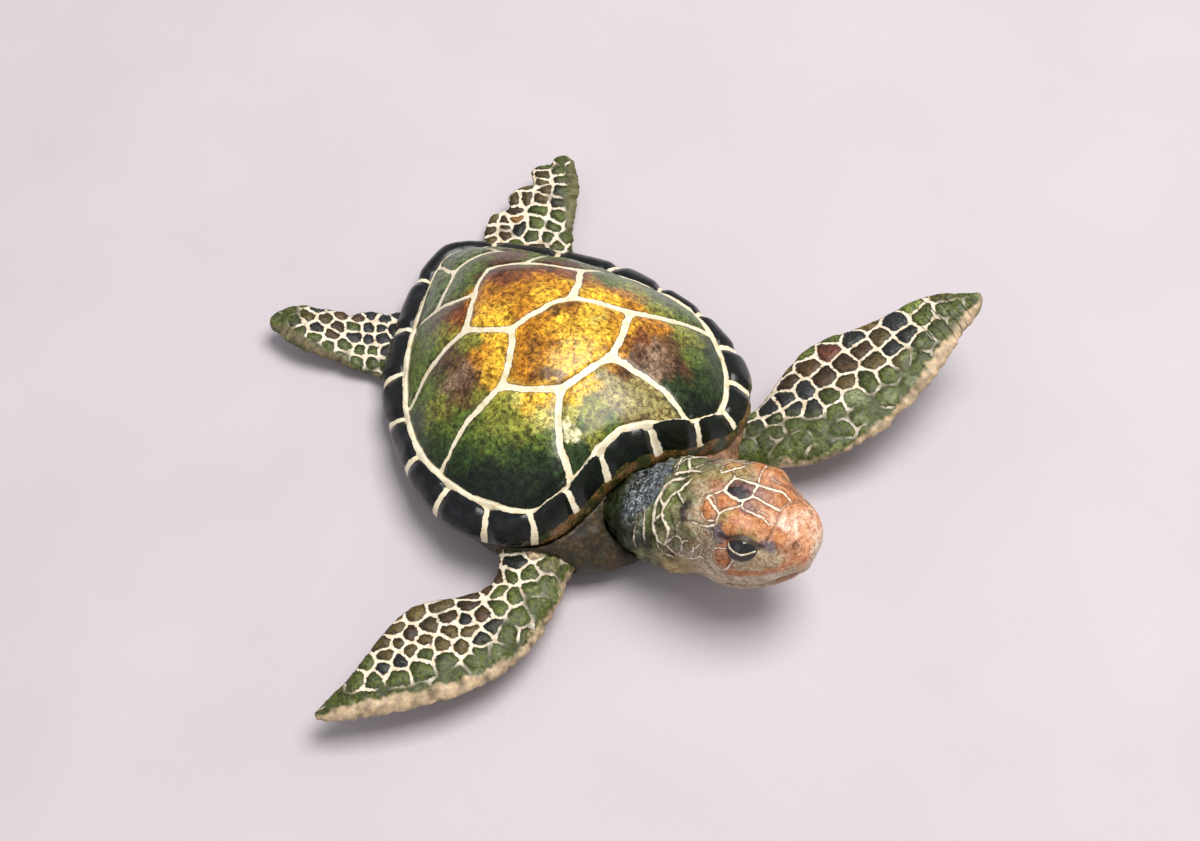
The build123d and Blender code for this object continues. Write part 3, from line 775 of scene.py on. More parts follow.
wash, tree, shader = new_material("ochre_wash")
speck = noise(tree, 1.1, 5.0, 0.65)
cloud = noise(tree, 0.22, 3.0)
colour = mixed(tree, attribute(tree, "left"), ramp(tree, speck, wash_browns), ramp(tree, speck, shoulder_pinks))
colour = mixed(tree, scaled(tree, cloud, 0.40, 0.58, 0, 0.6), colour, wash_green)
# Painted shade darkens the deep folds.
colour = mixed(tree, scaled(tree, attribute(tree, "fold"), 0.02, -0.26, 0, 0.85), colour, fold_shade)
finish(tree, shader, colour, scaled(tree, speck, 0.3, 0.7, 0.38, 0.6), (1.1, 5.0, 0.65, 0.5, 0.2))
body.data.materials.append(wash)
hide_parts("body")
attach(body, "root")

# Front flippers. Solid cast wings with raised scales, drybrushed green along
# the thick front edge, brown and black behind it, with a cream net of paint
# in the grooves between the scales. Their roots run into the shoulders.
flipper_cell = 0.26
scale_rise = 0.44
scale_groove_depth = 0.38
edge_step_height = 0.42
bone = (0.47, 0.35, 0.22)
bark = (0.046, 0.022, 0.006)
oxblood = (0.075, 0.022, 0.012)
soot = (0.007, 0.008, 0.009)
slate = (0.018, 0.020, 0.022)
fern = (0.060, 0.078, 0.012)
grass = (0.105, 0.135, 0.026)
drab = (0.072, 0.050, 0.012)
pale = (0.25, 0.28, 0.14)
net_cream = (0.86, 0.75, 0.57)
thin_net_cream = (0.66, 0.50, 0.32)
thick_net_cream = (0.93, 0.86, 0.74)
dust_green = (0.42, 0.42, 0.26)
pit_brown = (0.010, 0.010, 0.005)


def scale_gaps(spots, seeds, rounding):
    """Which scale each spot is in, and how far it is from the grooves round it."""
    seeds = np.asarray(seeds, float)
    square = ((spots[:, None, :] - seeds[None]) ** 2).sum(axis=2)
    owner = square.argmin(axis=1)
    apart = np.linalg.norm(seeds[:, None] - seeds[None], axis=2)
    own = square[np.arange(len(spots)), owner]
    gaps = (square - own[:, None]) / (2 * apart[owner] + 1e-9)
    gaps[np.arange(len(spots)), owner] = 30
    return owner, -rounding * np.log(np.exp(-np.minimum(gaps, 30) / rounding).sum(axis=1))


def fill_seeds(hand, inside, spacing, seed, box_low, box_high):
    """More scale middles at random, clear of the listed ones."""
    random = np.random.default_rng(seed)
    kept = [np.array(spot) for spot in hand]
    for _ in range(1500):
        spot = random.uniform(box_low, box_high)
        if inside(spot) and min(np.linalg.norm(spot - other) for other in kept) > spacing:
            kept.append(spot)
    return np.array(kept)


def near_any(line, reach):
    """Says whether a spot is within reach of a line."""
    return lambda spot: to_line(spot[None], line)[0][0] < reach


def scaly_flipper(node, name, edges, scales, spacing, seed, bare_lead, band, faint, paints, tip, blunt,
                  dark_root, edge_paint, notches=()):
    """A flipper with a carved scale net and its paint kept on the vertices.

    Spacing and seed fill the space between the listed scales. Bare lead and
    band are the widths of the plain strip and the beige strip of the front edge.
    Faint is how much of the cream net still shows on bare skin, and tip is where
    it ends along the flipper. Blunt widens the tip. A notch is a place on the
    back edge with its depth and reach.
    """
    trailing, leading = (soft_line(side) for side in edges)
    piece = cast_copy(node, name, flipper_cell)
    relax(piece, 2)
    points = places(piece)
    middle = (trailing[:len(leading)] + leading) / 2
    along = to_line(points[:, :2], middle)[1]
    centre = middle[((points[:, None, :2] - middle[None]) ** 2).sum(axis=2).argmin(axis=1)]
    points[:, :2] = centre + (points[:, :2] - centre) * (1 + blunt * ease(along, 0.58, 0.97))[:, None]
    for x, y, depth, reach in notches:
        inward = middle[np.linalg.norm(middle - (x, y), axis=1).argmin()] - (x, y)
        inward /= np.linalg.norm(inward)
        gap = np.linalg.norm(points[:, :2] - (x, y), axis=1)
        points[:, :2] += inward * (depth * np.clip(1 - gap / reach, 0, 1) ** 1.5)[:, None]
    set_places(piece, points)
    normals = facing(piece)
    hand = [spot[:2] for spot in scales]
    seeds = fill_seeds(hand, near_any(middle, 14), spacing, seed, points[:, :2].min(0), points[:, :2].max(0))
    random = np.random.default_rng(seed + 1)
    colours = [spot[2] for spot in scales] + [paints[random.integers(len(paints))] for _ in seeds[len(hand):]]
    wavy = points[:, :2] + strayed(points, ((0.30, 2.0, seed + 2), (0.12, 0.8, seed + 3)), seed_step=2)
    owner, groove = scale_gaps(wavy, seeds, 0.22)
    lead_gap, lead_along = to_line(points[:, :2], leading)
    along = to_line(points[:, :2], middle)[1]
    top = ease(normals[:, 2], 0.0, 0.45)
    bare_lead = bare_lead * np.interp(along, [0, 0.35, 0.6, 1], [1.4, 1.3, 1.0, 0.9])
    soft_front = ease(lead_gap - bare_lead + 0.8 * drift(points, 2.5, seed + 6), -2.0, 1.5)
    soft_tip = ease(along, tip + 0.08, tip - 0.04)
    broken = 1 + 0.55 * drift(points, 1.4, seed + 7)
    strays = faint * np.clip(1 + 2.2 * drift(points, 2.2, seed + 20), 0, 3)
    net = top * np.clip((strays + (1 - faint) * soft_front * soft_tip) * broken, 0, 1)
    band_width = band * np.interp(along, [0, 0.40, 0.55, 0.88, 1.0], [0.3, 0.6, 1.9, 2.0, 0.3])
    net *= ease(lead_gap - band_width, -0.4, 0.8)
    relief = scale_rise * ease(groove, 0.16, 1.2) - scale_groove_depth
    small = 0.10 * drift(points, 1.3, seed + 8) + 0.06 * drift(points, 0.6, seed + 9)
    steps = drift(np.stack([lead_along * 60, lead_gap * 0.3, points[:, 2] * 0.3], axis=1), 1.1, seed + 10)
    edge_steps = edge_step_height * steps * ease(band_width - lead_gap, -1.2, 0.5)
    points += normals * (top * relief * (0.40 + 0.60 * net) + small + edge_steps)[:, None]
    set_places(piece, points)
    relax(piece, 1)
    points = places(piece)
    normals = facing(piece)

    # Each scale has its own tone, and painted light makes each scale lighter toward the front edge and darker toward
    # the back.
    tone = np.random.default_rng(seed + 11).uniform(0.75, 1.3, len(seeds))[owner]
    toward_lead = leading.mean(axis=0) - trailing.mean(axis=0)
    toward_lead /= np.linalg.norm(toward_lead)
    scale_light_side = ((wavy - seeds[owner]) @ toward_lead) / spacing
    paint = np.array(colours)[owner] * (tone * np.clip(1 + 1.1 * scale_light_side, 0.35, 1.7))[:, None]

    # Green on the front edge and the tip, a pale drybrush on it, and a dark root.
    green = np.array(fern) * (1 + 0.35 * drift(points, 1.4, seed + 12))[:, None]
    front_share = 0.85 * (1 - ease(lead_gap - bare_lead + 0.9 * drift(points, 1.5, seed + 13), -1.5, 2.0))
    paint = laid_over(paint, green, front_share)
    paint = laid_over(paint, green, 0.85 * ease(along, tip - 0.02, tip + 0.10))
    dry = ease(drift(points, 2.6, seed + 15) + 0.5 * drift(points, 0.8, seed + 16), 0.25, 0.7)
    paint = laid_over(paint, pale, 0.6 * dry * front_share)
    paint = laid_over(paint, soot, dark_root * ease(-along, -0.16, -0.02))

    # The beige strip of the front edge and the underside. Its paint varies at random, is darker where the edge steps
    # sink and away from the front edge, and has painted light: faces turned up are lighter, faces turned down darker.
    band_wander = 0.7 * drift(points, 1.6, seed + 14) + 0.4 * drift(points, 0.7, seed + 17)
    band_share = ease(band_width - lead_gap - band_wander, -0.5, 0.4)
    green_side = np.interp(along, [0, 0.40, 0.58, 1.0], [0.60, 0.50, 0.10, 0.0])
    under = 1 - ease(normals[:, 2] + green_side + 0.18 * drift(points, 1.2, seed + 18), 0.05, 0.45)
    lead_side = ease(to_line(points[:, :2], trailing)[0] - lead_gap, -2, 3)
    bone_share = np.maximum(under, band_share)
    wear_and_shade = 1 + 0.45 * drift(points, 1.2, seed + 19) + 0.5 * np.minimum(steps, 0)
    # Painted light: faces turned up are lighter, faces turned down darker.
    wear_and_shade += 0.35 * np.clip(normals[:, 2] - 0.3, -0.5, 0.3)
    paint = laid_over(paint, np.array(edge_paint) * ((0.45 + 0.55 * lead_side) * wear_and_shade)[:, None], bone_share)
    store(piece, "paint", np.clip(paint, 0, 1))
    store(piece, "groove", groove)
    store(piece, "net", net)
    store(piece, "calm", bone_share)
    piece.data.shade_smooth()
    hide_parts(node)
    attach(piece, "root")
    return piece


front_right_edges = (
    [(27.7, -21.8), (32.8, -30.2), (38.2, -35.7), (36.1, -45.4), (35.1, -52.5), (39.6, -63.2), (42.8, -72.7),
     (43.7, -76.9)],
    [(41.2, -14.3), (44.5, -21.4), (50.0, -28.1), (55.0, -39.1), (55.6, -49.1), (52.2, -62.0), (47.5, -73.1),
     (45.1, -77.0)],
)
front_right_scales = [
    (36.8, -28.6, soot), (37.6, -33.0, bark), (38.4, -36.0, bark), (38.0, -39.4, bark), (40.8, -41.2, bark),
    (37.8, -45.6, drab), (36.6, -51.0, drab), (40.9, -45.9, bark), (43.1, -43.2, soot), (37.6, -55.6, drab),
    (40.8, -50.2, drab), (44.0, -47.2, drab), (45.5, -43.9, drab), (43.9, -40.3, bark), (47.2, -39.7, soot),
    (48.5, -42.9, soot), (40.1, -54.0, bark), (42.9, -52.1, drab), (45.4, -49.7, drab), (47.7, -46.8, drab),
    (50.7, -44.4, fern), (39.2, -59.3, drab), (40.7, -56.6, drab), (43.2, -55.5, drab), (45.4, -53.7, fern),
    (48.5, -50.6, fern), (52.0, -46.1, grass), (41.4, -60.0, drab), (44.1, -58.2, soot), (47.3, -55.6, fern),
    (41.0, -64.0, fern), (43.5, -61.8, slate), (42.4, -66.6, fern), (44.6, -64.1, fern), (46.6, -60.4, fern),
    (40.6, -27.6, grass), (38.6, -31.0, fern), (43.6, -28.9, grass), (43.5, -32.6, grass), (43.9, -36.3, fern),
    (47.6, -33.9, grass), (47.6, -29.6, grass), (44.6, -25.2, pale), (40.8, -34.6, fern), (36.5, -23.4, bone),
    (40.5, -23.2, bone),
]
front_right = scaly_flipper(
    "front_flipper_right", "front_flipper_right_painted", front_right_edges, front_right_scales, spacing=3.4,
    seed=101, bare_lead=5.2, band=1.1, faint=0.20, paints=[fern, drab, bark], tip=0.86, blunt=0.15, dark_root=0.0,
    edge_paint=bone)
front_left_edges = (
    [(27.7, 21.8), (30.7, 33.6), (29.0, 38.6), (26.5, 46.6), (28.6, 57.5), (31.9, 67.6), (36.1, 78.1), (38.5, 81.9)],
    [(41.2, 16.0), (44.9, 29.4), (48.3, 34.4), (50.7, 42.0), (50.4, 55.4), (46.0, 67.2), (41.6, 78.5), (39.9, 82.2)],
)
front_left_scales = [
    (32.9, 34.5, slate), (30.6, 40.6, bark), (34.6, 41.6, slate), (30.0, 45.6, bark), (29.6, 51.0, oxblood),
    (30.6, 56.4, soot), (35.0, 46.6, bark), (34.9, 51.6, bark), (34.0, 56.4, bark), (34.4, 60.8, drab),
    (38.2, 56.6, drab), (37.2, 37.4, slate), (33.6, 37.8, slate), (36.3, 33.6, soot), (39.8, 35.6, soot),
    (39.6, 40.4, slate), (38.6, 49.2, drab), (39.2, 44.8, fern), (41.2, 52.8, fern), (42.4, 48.4, pale),
    (33.6, 65.2, slate), (37.2, 65.0, soot), (37.8, 61.2, slate), (41.4, 61.0, drab), (42.4, 56.9, fern),
    (35.8, 70.2, fern), (40.6, 66.2, slate), (40.4, 70.6, fern), (37.9, 74.6, fern), (43.6, 63.8, fern),
    (43.4, 38.8, grass), (46.6, 47.3, grass), (46.8, 54.2, grass), (46.4, 42.4, grass), (43.7, 34.6, fern),
    (39.6, 28.9, soot), (35.3, 29.4, slate), (38.6, 32.0, soot),
]
front_left = scaly_flipper(
    "front_flipper_left", "front_flipper_left_painted", front_left_edges, front_left_scales, spacing=3.6,
    seed=131, bare_lead=7.0, band=0.7, faint=0.17, paints=[fern, drab, grass], tip=0.84, blunt=0.32, dark_root=0.6,
    edge_paint=bone)

# Drybrushed paint with a sponged speckle, and the cream net in the grooves.
skin, tree, shader = new_material("skin_drybrushed")
base = attribute(tree, "paint", "Color")
sponge = noise(tree, 1.3, 5.0, 0.65, 0.3)
fine = noise(tree, 3.6, 3.0, 0.6)
net = attribute(tree, "net")
lively = scaled(tree, attribute(tree, "calm"), 0.0, 1.0, 1.0, 0.30)
colour = tinted(tree, sponge, (0.50, 0.66, lively), base, base, (1.9, 1.8, 1.5))
colour = tinted(tree, sponge, (0.50, 0.34, lively), colour, base, (0.34, 0.36, 0.36))
colour = mixed(tree, maths(tree, "MULTIPLY", lively, scaled(tree, fine, 0.57, 0.70, 0, 0.24)), colour, dust_green)
colour = mixed(tree, maths(tree, "MULTIPLY", lively, scaled(tree, fine, 0.43, 0.32, 0, 0.75)), colour, pit_brown)
line = wandered(tree, attribute(tree, "groove"), 1.3, 4.0, 0.6, 0.20)
beside_line = scaled(tree, net, -0.06, 0.40, 0, 0.85)
colour = tinted(tree, line, (0.85, 0.26, beside_line), colour, colour, (0.30, 0.28, 0.26))
line_share = maths(tree, "MULTIPLY", scaled(tree, line, 0.31, 0.20), scaled(tree, net, 0.12, 0.66))
cream_net = use(tree, worn_cream, Cells_per_mm=0.8, Thin=thin_net_cream, Full=net_cream, Thick=thick_net_cream)
colour = mixed(tree, line_share, colour, cream_net)
finish(tree, shader, colour, scaled(tree, sponge, 0.3, 0.7, 0.36, 0.58), (2.2, 4.0, 0.65, 0.5, 0.15),
       Specular_IOR_Level=0.35)
for piece in (front_right, front_left):
    piece.data.materials.append(skin)

# Rear flippers. Shorter cast paddles with the same scales and net of cream.
# They leave the shell under its rim and trail behind, with a lobed back edge.
rear_left_edge_paint = (0.13, 0.12, 0.05)
rear_right_edge_paint = (0.15, 0.12, 0.06)
rear_left_edges = (
    [(-31.9, 5.0), (-41.2, 8.4), (-46.6, 13.9), (-49.1, 22.7), (-50.8, 31.1), (-50.6, 35.7)],
    [(-21.0, 12.6), (-28.1, 23.9), (-34.0, 27.7), (-39.9, 31.5), (-45.4, 34.9), (-49.0, 36.6)],
)
rear_left_scales = [
    (-42.9, 11.5, drab), (-41.0, 10.4, drab), (-43.0, 15.2, bark), (-41.9, 14.2, bark), (-40.4, 13.2, bark),
    (-46.2, 19.6, drab), (-44.0, 18.0, bark), (-42.3, 17.2, (0.22, 0.10, 0.02)), (-39.9, 17.0, soot),
    (-38.6, 20.6, fern), (-36.3, 18.6, fern), (-43.2, 24.4, drab), (-41.0, 22.8, fern), (-44.6, 26.4, drab),
    (-46.4, 26.8, drab), (-48.2, 28.4, drab), (-50.0, 34.3, fern), (-47.5, 32.0, fern), (-45.0, 31.4, fern),
    (-41.9, 29.3, soot), (-39.9, 27.6, soot), (-37.4, 25.8, fern), (-35.8, 23.6, fern), (-48.0, 24.0, drab),
    (-45.2, 22.2, drab),
]
rear_left_notches = [(-47.4, 16.2, 3.0, 3.0), (-49.3, 23.8, 3.4, 3.4), (-50.8, 30.8, 2.4, 2.8)]
rear_left = scaly_flipper(
    "rear_flipper_left", "rear_flipper_left_painted", rear_left_edges, rear_left_scales, spacing=2.9, seed=161,
    bare_lead=3.0, band=0.8, faint=0.45, paints=[fern, drab, bark], tip=0.88, blunt=0.35, dark_root=0.5,
    edge_paint=rear_left_edge_paint, notches=rear_left_notches)
rear_right_edges = (
    [(-26.9, -8.4), (-35.7, -18.9), (-38.6, -25.6), (-41.6, -32.3), (-44.4, -37.8), (-44.5, -42.4)],
    [(-15.1, -16.8), (-21.0, -28.1), (-27.7, -33.6), (-34.0, -38.2), (-39.9, -41.2), (-43.0, -43.2)],
)
rear_right_scales = [
    (-42.1, -41.2, grass), (-38.2, -38.6, fern), (-35.2, -36.0, fern), (-40.9, -34.8, drab), (-38.6, -32.0, drab),
    (-36.0, -30.6, bark), (-37.2, -34.6, soot), (-32.4, -34.6, fern), (-31.0, -31.4, fern), (-34.6, -32.8, bark),
    (-28.8, -29.0, fern), (-27.2, -26.6, fern), (-26.0, -24.3, slate), (-34.7, -27.2, fern), (-33.2, -24.6, slate),
    (-32.0, -22.4, slate), (-30.2, -20.2, soot), (-33.8, -20.6, slate), (-38.4, -27.8, bark), (-36.8, -25.4, bark),
    (-36.4, -22.4, slate), (-31.7, -28.4, slate), (-30.2, -26.2, slate), (-29.2, -23.6, slate),
    (-26.4, -31.0, soot), (-24.6, -28.4, soot), (-29.0, -33.6, fern),
]
rear_right_notches = [(-35.7, -18.9, 0.9, 2.0), (-38.8, -25.9, 1.2, 2.2), (-41.8, -32.6, 1.2, 2.2)]
rear_right = scaly_flipper(
    "rear_flipper_right", "rear_flipper_right_painted", rear_right_edges, rear_right_scales, spacing=2.6, seed=191,
    bare_lead=2.6, band=0.5, faint=0.35, paints=[fern, slate, bark], tip=0.80, blunt=0.50, dark_root=0.6,
    edge_paint=rear_right_edge_paint, notches=rear_right_notches)
for piece in (rear_left, rear_right):
    piece.data.materials.append(skin)

# Head and neck. One casting on a folded neck, turned to the turtle's left. The
# head has raised plates with pale cracks between them, heavy brows, lids round
# set-in beads, nostrils and a mouth line, and is sponged salmon over beige.
head_cell = 0.25
plate_step = 0.20
pebble_rise = 0.14
ridge_rise = {1: 0.12, 2: 0.42}
neck_fold_rise = 0.46
mouth_depth = 0.55
nostril_depth = 0.50
pit_depth = 0.5
eye_reach = 7.5
eye_half_length = 3.7
hood_thickness = 0.34
lid_thickness = 0.10
lid_bead_rise = 0.16
opening_step = 0.34
lid_paint = (0.56, 0.47, 0.32)
# Brown painted shadow for the mouth line.
mouth_shadow_brown = (0.10, 0.045, 0.03)
nostril_brown = (0.14, 0.05, 0.02)
crumb_brown = (0.07, 0.034, 0.02)
brush_grey = (0.56, 0.60, 0.62)
salmon = (0.62, 0.28, 0.135)
orange = (0.52, 0.20, 0.070)
burnt = (0.42, 0.14, 0.036)
peach = (0.74, 0.43, 0.28)
blush = (0.82, 0.55, 0.40)
ochre = (0.34, 0.24, 0.095)
clay = (0.42, 0.20, 0.11)
plum = (0.24, 0.11, 0.095)
night = (0.016, 0.012, 0.016)
# Purple grey painted shade under the brows and in the hollows by the eyes.
shade_purple = (0.16, 0.12, 0.12)
beige = (0.44, 0.33, 0.20)
pale_beige = (0.60, 0.46, 0.32)
olive_grey = (0.20, 0.185, 0.085)
neck_green = (0.095, 0.105, 0.026)
steel = (0.040, 0.052, 0.064)
deep_green = (0.020, 0.028, 0.010)
fold_cream = (0.84, 0.74, 0.57)

# The head's own measures are along, to the left and up from its middle, in mm.
head_middle = np.array([57.7, 10.4, 23.0])
head_axes = np.array([[0.8412, 0.5407, 0.0], [-0.5407, 0.8412, 0.0], [0.0, 0.0, 1.0]])
mirror_at = 0.43


def both_sides(spots):
    """Listed spots of the right side, and their mirror images on the left."""
    return list(spots) + [(spot[0], 2 * mirror_at - spot[1]) + tuple(spot[2:]) for spot in spots]


head = cast_copy("head_and_neck", "head_and_neck_painted", head_cell, [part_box("eye_right"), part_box("eye_left")])
relax(head, 3)
points = places(head)
local = (points - head_middle) @ head_axes.T
normals = facing(head) @ head_axes.T

# Painted cracks, scale rings and neck folds: half width, paleness, ridge, points.
top_lines = [
    (0.14, 0.8, 0, [(-4.7, 5.1, 8.5), (-4.0, 4.0, 8.9), (-3.5, 3.0, 9.2)]),
    (0.20, 1.0, 0, [(-3.5, 3.0, 9.2), (-2.1, 3.1, 9.3), (-0.4, 3.2, 9.3), (1.2, 3.4, 9.2)]),
    (0.27, 1.0, 0, [(-3.5, 3.0, 9.2), (-3.9, 1.4, 9.2), (-4.1, 0.1, 9.2), (-3.8, -0.6, 9.2), (-2.5, -1.1, 9.4),
                    (-1.1, -1.4, 9.4), (0.1, -1.0, 9.4), (1.3, 0.5, 9.3)]),
    (0.19, 0.9, 0, [(1.2, 3.4, 9.2), (1.1, 1.9, 9.3), (1.3, 0.5, 9.3)]),
    (0.16, 0.8, 0, [(-4.1, 0.0, 9.2), (-5.0, -1.1, 9.0), (-6.0, -2.0, 8.7), (-6.8, -2.8, 8.3)]),
    (0.17, 0.9, 0, [(1.2, 3.4, 9.2), (0.8, 4.9, 9.1), (0.6, 6.4, 8.7), (0.9, 7.9, 8.0)]),
    (0.22, 1.0, 0, [(1.2, 3.4, 9.2), (2.9, 3.8, 8.9), (4.6, 4.1, 8.4), (6.0, 4.4, 8.0), (7.6, 4.0, 7.4)]),
    (0.23, 1.0, 0, [(1.3, 0.5, 9.3), (3.0, 0.7, 9.0), (4.8, 0.6, 8.6), (6.7, 0.7, 8.0)]),
    (0.18, 0.9, 0, [(0.1, -1.0, 9.4), (0.2, -2.1, 9.4), (0.8, -2.6, 9.3), (3.0, -2.6, 9.0), (4.9, -2.6, 8.5),
                    (6.3, -3.1, 8.0)]),
    (0.17, 0.9, 0, [(0.2, -2.1, 9.4), (-0.8, -3.3, 9.3), (-2.1, -4.3, 9.2), (-2.9, -5.5, 8.8), (-2.8, -6.8, 8.3)]),
    (0.12, 0.2, 0, [(7.1, 0.7, 7.8), (7.3, -0.9, 7.7), (7.3, -3.2, 7.6), (7.0, -5.7, 7.2)]),
    (0.13, 0.35, 0, [(7.1, 0.7, 7.8), (7.3, 2.3, 7.7), (8.0, 3.8, 7.2), (9.6, 5.3, 6.1)]),
    (0.12, 0.35, 0, [(-5.7, -2.1, 8.8), (-4.9, -3.0, 8.9), (-4.1, -4.0, 8.9), (-3.1, -4.4, 9.0), (-1.9, -3.7, 9.2),
                     (-0.2, -2.7, 9.4)]),
    (0.10, 0.4, 0, [(2.0, -1.9, 9.2), (3.8, -1.6, 8.9), (5.6, -1.5, 8.4)]),
    (0.10, 0.4, 0, [(2.6, 5.6, 8.6), (4.6, 5.6, 8.2), (6.6, 6.0, 7.2)]),
    (0.10, 0.3, 0, [(4.2, 7.2, 7.4), (6.2, 6.8, 6.9), (8.0, 6.0, 6.4)]),
]
side_lines = [
    (0.13, 0.7, 0, [(-6.8, -2.8, 8.3), (-6.9, -4.4, 8.0), (-6.3, -5.9, 7.7), (-5.3, -6.9, 7.5), (-4.0, -7.0, 7.9),
                    (-3.0, -6.5, 8.4)]),
    (0.20, 0.9, 0, [(-6.3, -2.8, 8.5), (-5.2, -3.7, 8.7), (-3.8, -4.8, 8.8), (-3.0, -5.6, 8.7)]),
    (0.15, 0.9, 0, [(-5.5, -8.0, 6.6), (-4.0, -7.9, 7.3), (-3.0, -7.4, 7.9), (-2.7, -6.8, 8.3)]),
    (0.12, 0.6, 0, [(-7.8, -7.7, 5.8), (-6.7, -7.9, 6.2), (-5.5, -8.0, 6.6)]),
    (0.11, 0.5, 0, [(-5.5, -8.0, 6.6), (-5.5, -9.0, 5.4), (-4.6, -9.8, 4.5), (-3.4, -9.9, 4.9), (-2.6, -9.4, 6.1),
                    (-3.1, -8.4, 7.1)]),
    (0.19, 1.0, 1, [(-11.5, -9.7, -0.6), (-11.4, -10.0, -2.9), (-10.6, -10.0, -4.9), (-9.1, -10.0, -4.6),
                    (-7.6, -10.1, -3.3), (-6.3, -10.2, -3.6), (-4.3, -10.6, -0.5), (-3.2, -10.7, -0.3),
                    (-1.7, -10.9, -0.3), (-0.1, -11.0, -0.7), (1.2, -10.9, -0.5), (2.3, -10.8, 2.4),
                    (2.4, -10.6, 3.9)]),
    (0.12, 0.7, 1, [(-2.0, -10.6, 3.5), (-1.3, -10.4, 4.8), (-0.1, -10.2, 5.3), (0.9, -10.4, 4.8),
                    (1.8, -10.4, 3.4), (2.4, -10.8, 2.6)]),
    (0.12, 0.6, 1, [(-2.0, -10.6, 3.5), (-1.8, -10.9, 1.9), (-1.1, -11.0, 0.4), (0.0, -11.0, -0.5)]),
    (0.14, 0.8, 1, [(-8.4, -10.0, 0.4), (-7.9, -9.8, 1.7), (-6.8, -9.9, 2.6), (-6.0, -10.2, 2.0), (-6.0, -10.3, 0.1),
                    (-7.2, -10.2, -1.8), (-8.1, -10.1, -1.4), (-8.4, -10.0, 0.4)]),
    (0.16, 0.9, 1, [(-11.2, -9.8, -1.4), (-10.5, -9.6, 0.6), (-9.4, -9.5, 1.6), (-8.5, -9.8, 1.1),
                    (-8.1, -10.1, -0.9), (-9.0, -10.0, -3.6)]),
    (0.12, 0.6, 0, [(-6.3, -10.2, -3.6), (-5.9, -10.4, -0.5), (-5.4, -10.3, 1.5), (-4.6, -10.1, 3.5)]),
    (0.12, 0.5, 0, [(-4.3, -10.6, -0.5), (-4.2, -10.5, 2.0), (-3.4, -10.1, 4.4)]),
    (0.14, 0.8, 0, [(-10.1, -7.8, 4.4), (-10.2, -8.7, 3.0), (-9.7, -9.4, 1.7)]),
    (0.11, 0.4, 0, [(-5.0, -10.2, -4.8), (-3.5, -10.4, -5.3), (-1.5, -10.4, -7.0), (1.0, -10.0, -8.4)]),
    (0.10, 0.3, 0, [(-3.2, -10.7, -0.3), (-2.2, -10.8, -2.5), (-0.6, -10.9, -3.9)]),
    (0.20, 0.9, 2, [(-9.8, 2.6, 7.0), (-12.0, 2.9, 5.8), (-13.8, 2.2, 4.8), (-15.0, 1.3, 4.0)]),
    (0.26, 1.0, 2, [(-12.0, 1.6, 6.0), (-13.9, 0.5, 4.8), (-15.4, -0.8, 3.8), (-15.9, -2.5, 3.3), (-16.0, -4.0, 2.9),
                    (-15.7, -6.2, 2.0), (-15.4, -7.9, 0.6), (-14.6, -9.1, -0.9), (-13.3, -9.7, -1.9),
                    (-11.7, -9.9, -2.0)]),
    (0.24, 1.0, 2, [(-11.1, 0.5, 6.5), (-12.0, -0.9, 6.1), (-12.9, -2.4, 5.4), (-13.6, -4.0, 4.6), (-14.1, -5.7, 3.6),
                    (-13.7, -6.9, 3.0), (-12.5, -8.1, 2.5), (-11.6, -8.9, 1.7), (-11.4, -9.5, 0.1)]),
    (0.18, 0.9, 2, [(-13.7, -6.9, 3.0), (-14.7, -7.5, 1.6), (-15.3, -8.1, 0.5)]),
    (0.16, 0.6, 2, [(-17.4, -6.2, 0.8), (-17.0, -7.9, -0.6), (-16.6, -9.2, -2.6), (-16.0, -10.0, -5.5)]),
    (0.14, 0.8, 2, [(-12.9, -2.4, 5.4), (-11.5, -3.6, 6.0), (-10.7, -4.7, 6.2)]),
    (0.16, 0.8, 2, [(-14.1, -5.7, 3.6), (-15.5, -3.8, 3.4), (-15.3, -2.8, 3.7), (-14.8, -1.5, 4.2)]),
    (0.16, 0.8, 2, [(-13.6, -9.7, -2.1), (-12.4, -10.0, -4.4), (-10.8, -10.0, -6.0), (-9.4, -10.0, -6.0)]),
    (0.12, 0.4, 2, [(-19.0, -4.6, 0.6), (-18.8, -7.6, -1.6), (-18.4, -9.4, -4.6), (-17.6, -9.6, -8.0)]),
]
drawn = list(top_lines)
for width, pale_share, ridge, line in side_lines:
    drawn.append((width * (1.35 if ridge == 2 else 1.0), pale_share, ridge, line))
    mirrored = [(a, 2 * mirror_at - b, c) for a, b, c in line if b < -1.0]
    if len(mirrored) > 1:
        drawn.append((width, pale_share, ridge, mirrored))


def laid_on(line, surface, outward):
    """A line moved onto the surface that it is drawn over."""
    nearest = ((line[:, None, :] - surface[None]) ** 2).sum(axis=2).argmin(axis=1)
    off = ((line - surface[nearest]) * outward[nearest]).sum(axis=1)
    return line - outward[nearest] * off[:, None]


wavy = local + strayed(points, ((0.13, 1.5, 211), (0.09, 0.6, 221)), axes=3)
crack = np.full(len(points), 30.0)
paleness = np.zeros(len(points))
ridge_gap = {1: np.full(len(points), 30.0), 2: np.full(len(points), 30.0)}
for number, (width, pale_share, ridge, line) in enumerate(drawn):
    placed = laid_on(soft_line(line, 5), local, normals)
    gap, along = to_line(wavy, placed)
    if ridge:
        ridge_gap[ridge] = np.minimum(ridge_gap[ridge], gap)
    ends = 1 - 0.6 * ease(np.abs(along - 0.5), 0.40, 0.5) * (ridge == 2)
    gap = gap - width * ends * (1 + 0.35 * drift(points, 1.2, 700 + number))
    closer = gap < crack
    crack = np.where(closer, gap, crack)
    paleness = np.where(closer, pale_share, paleness)

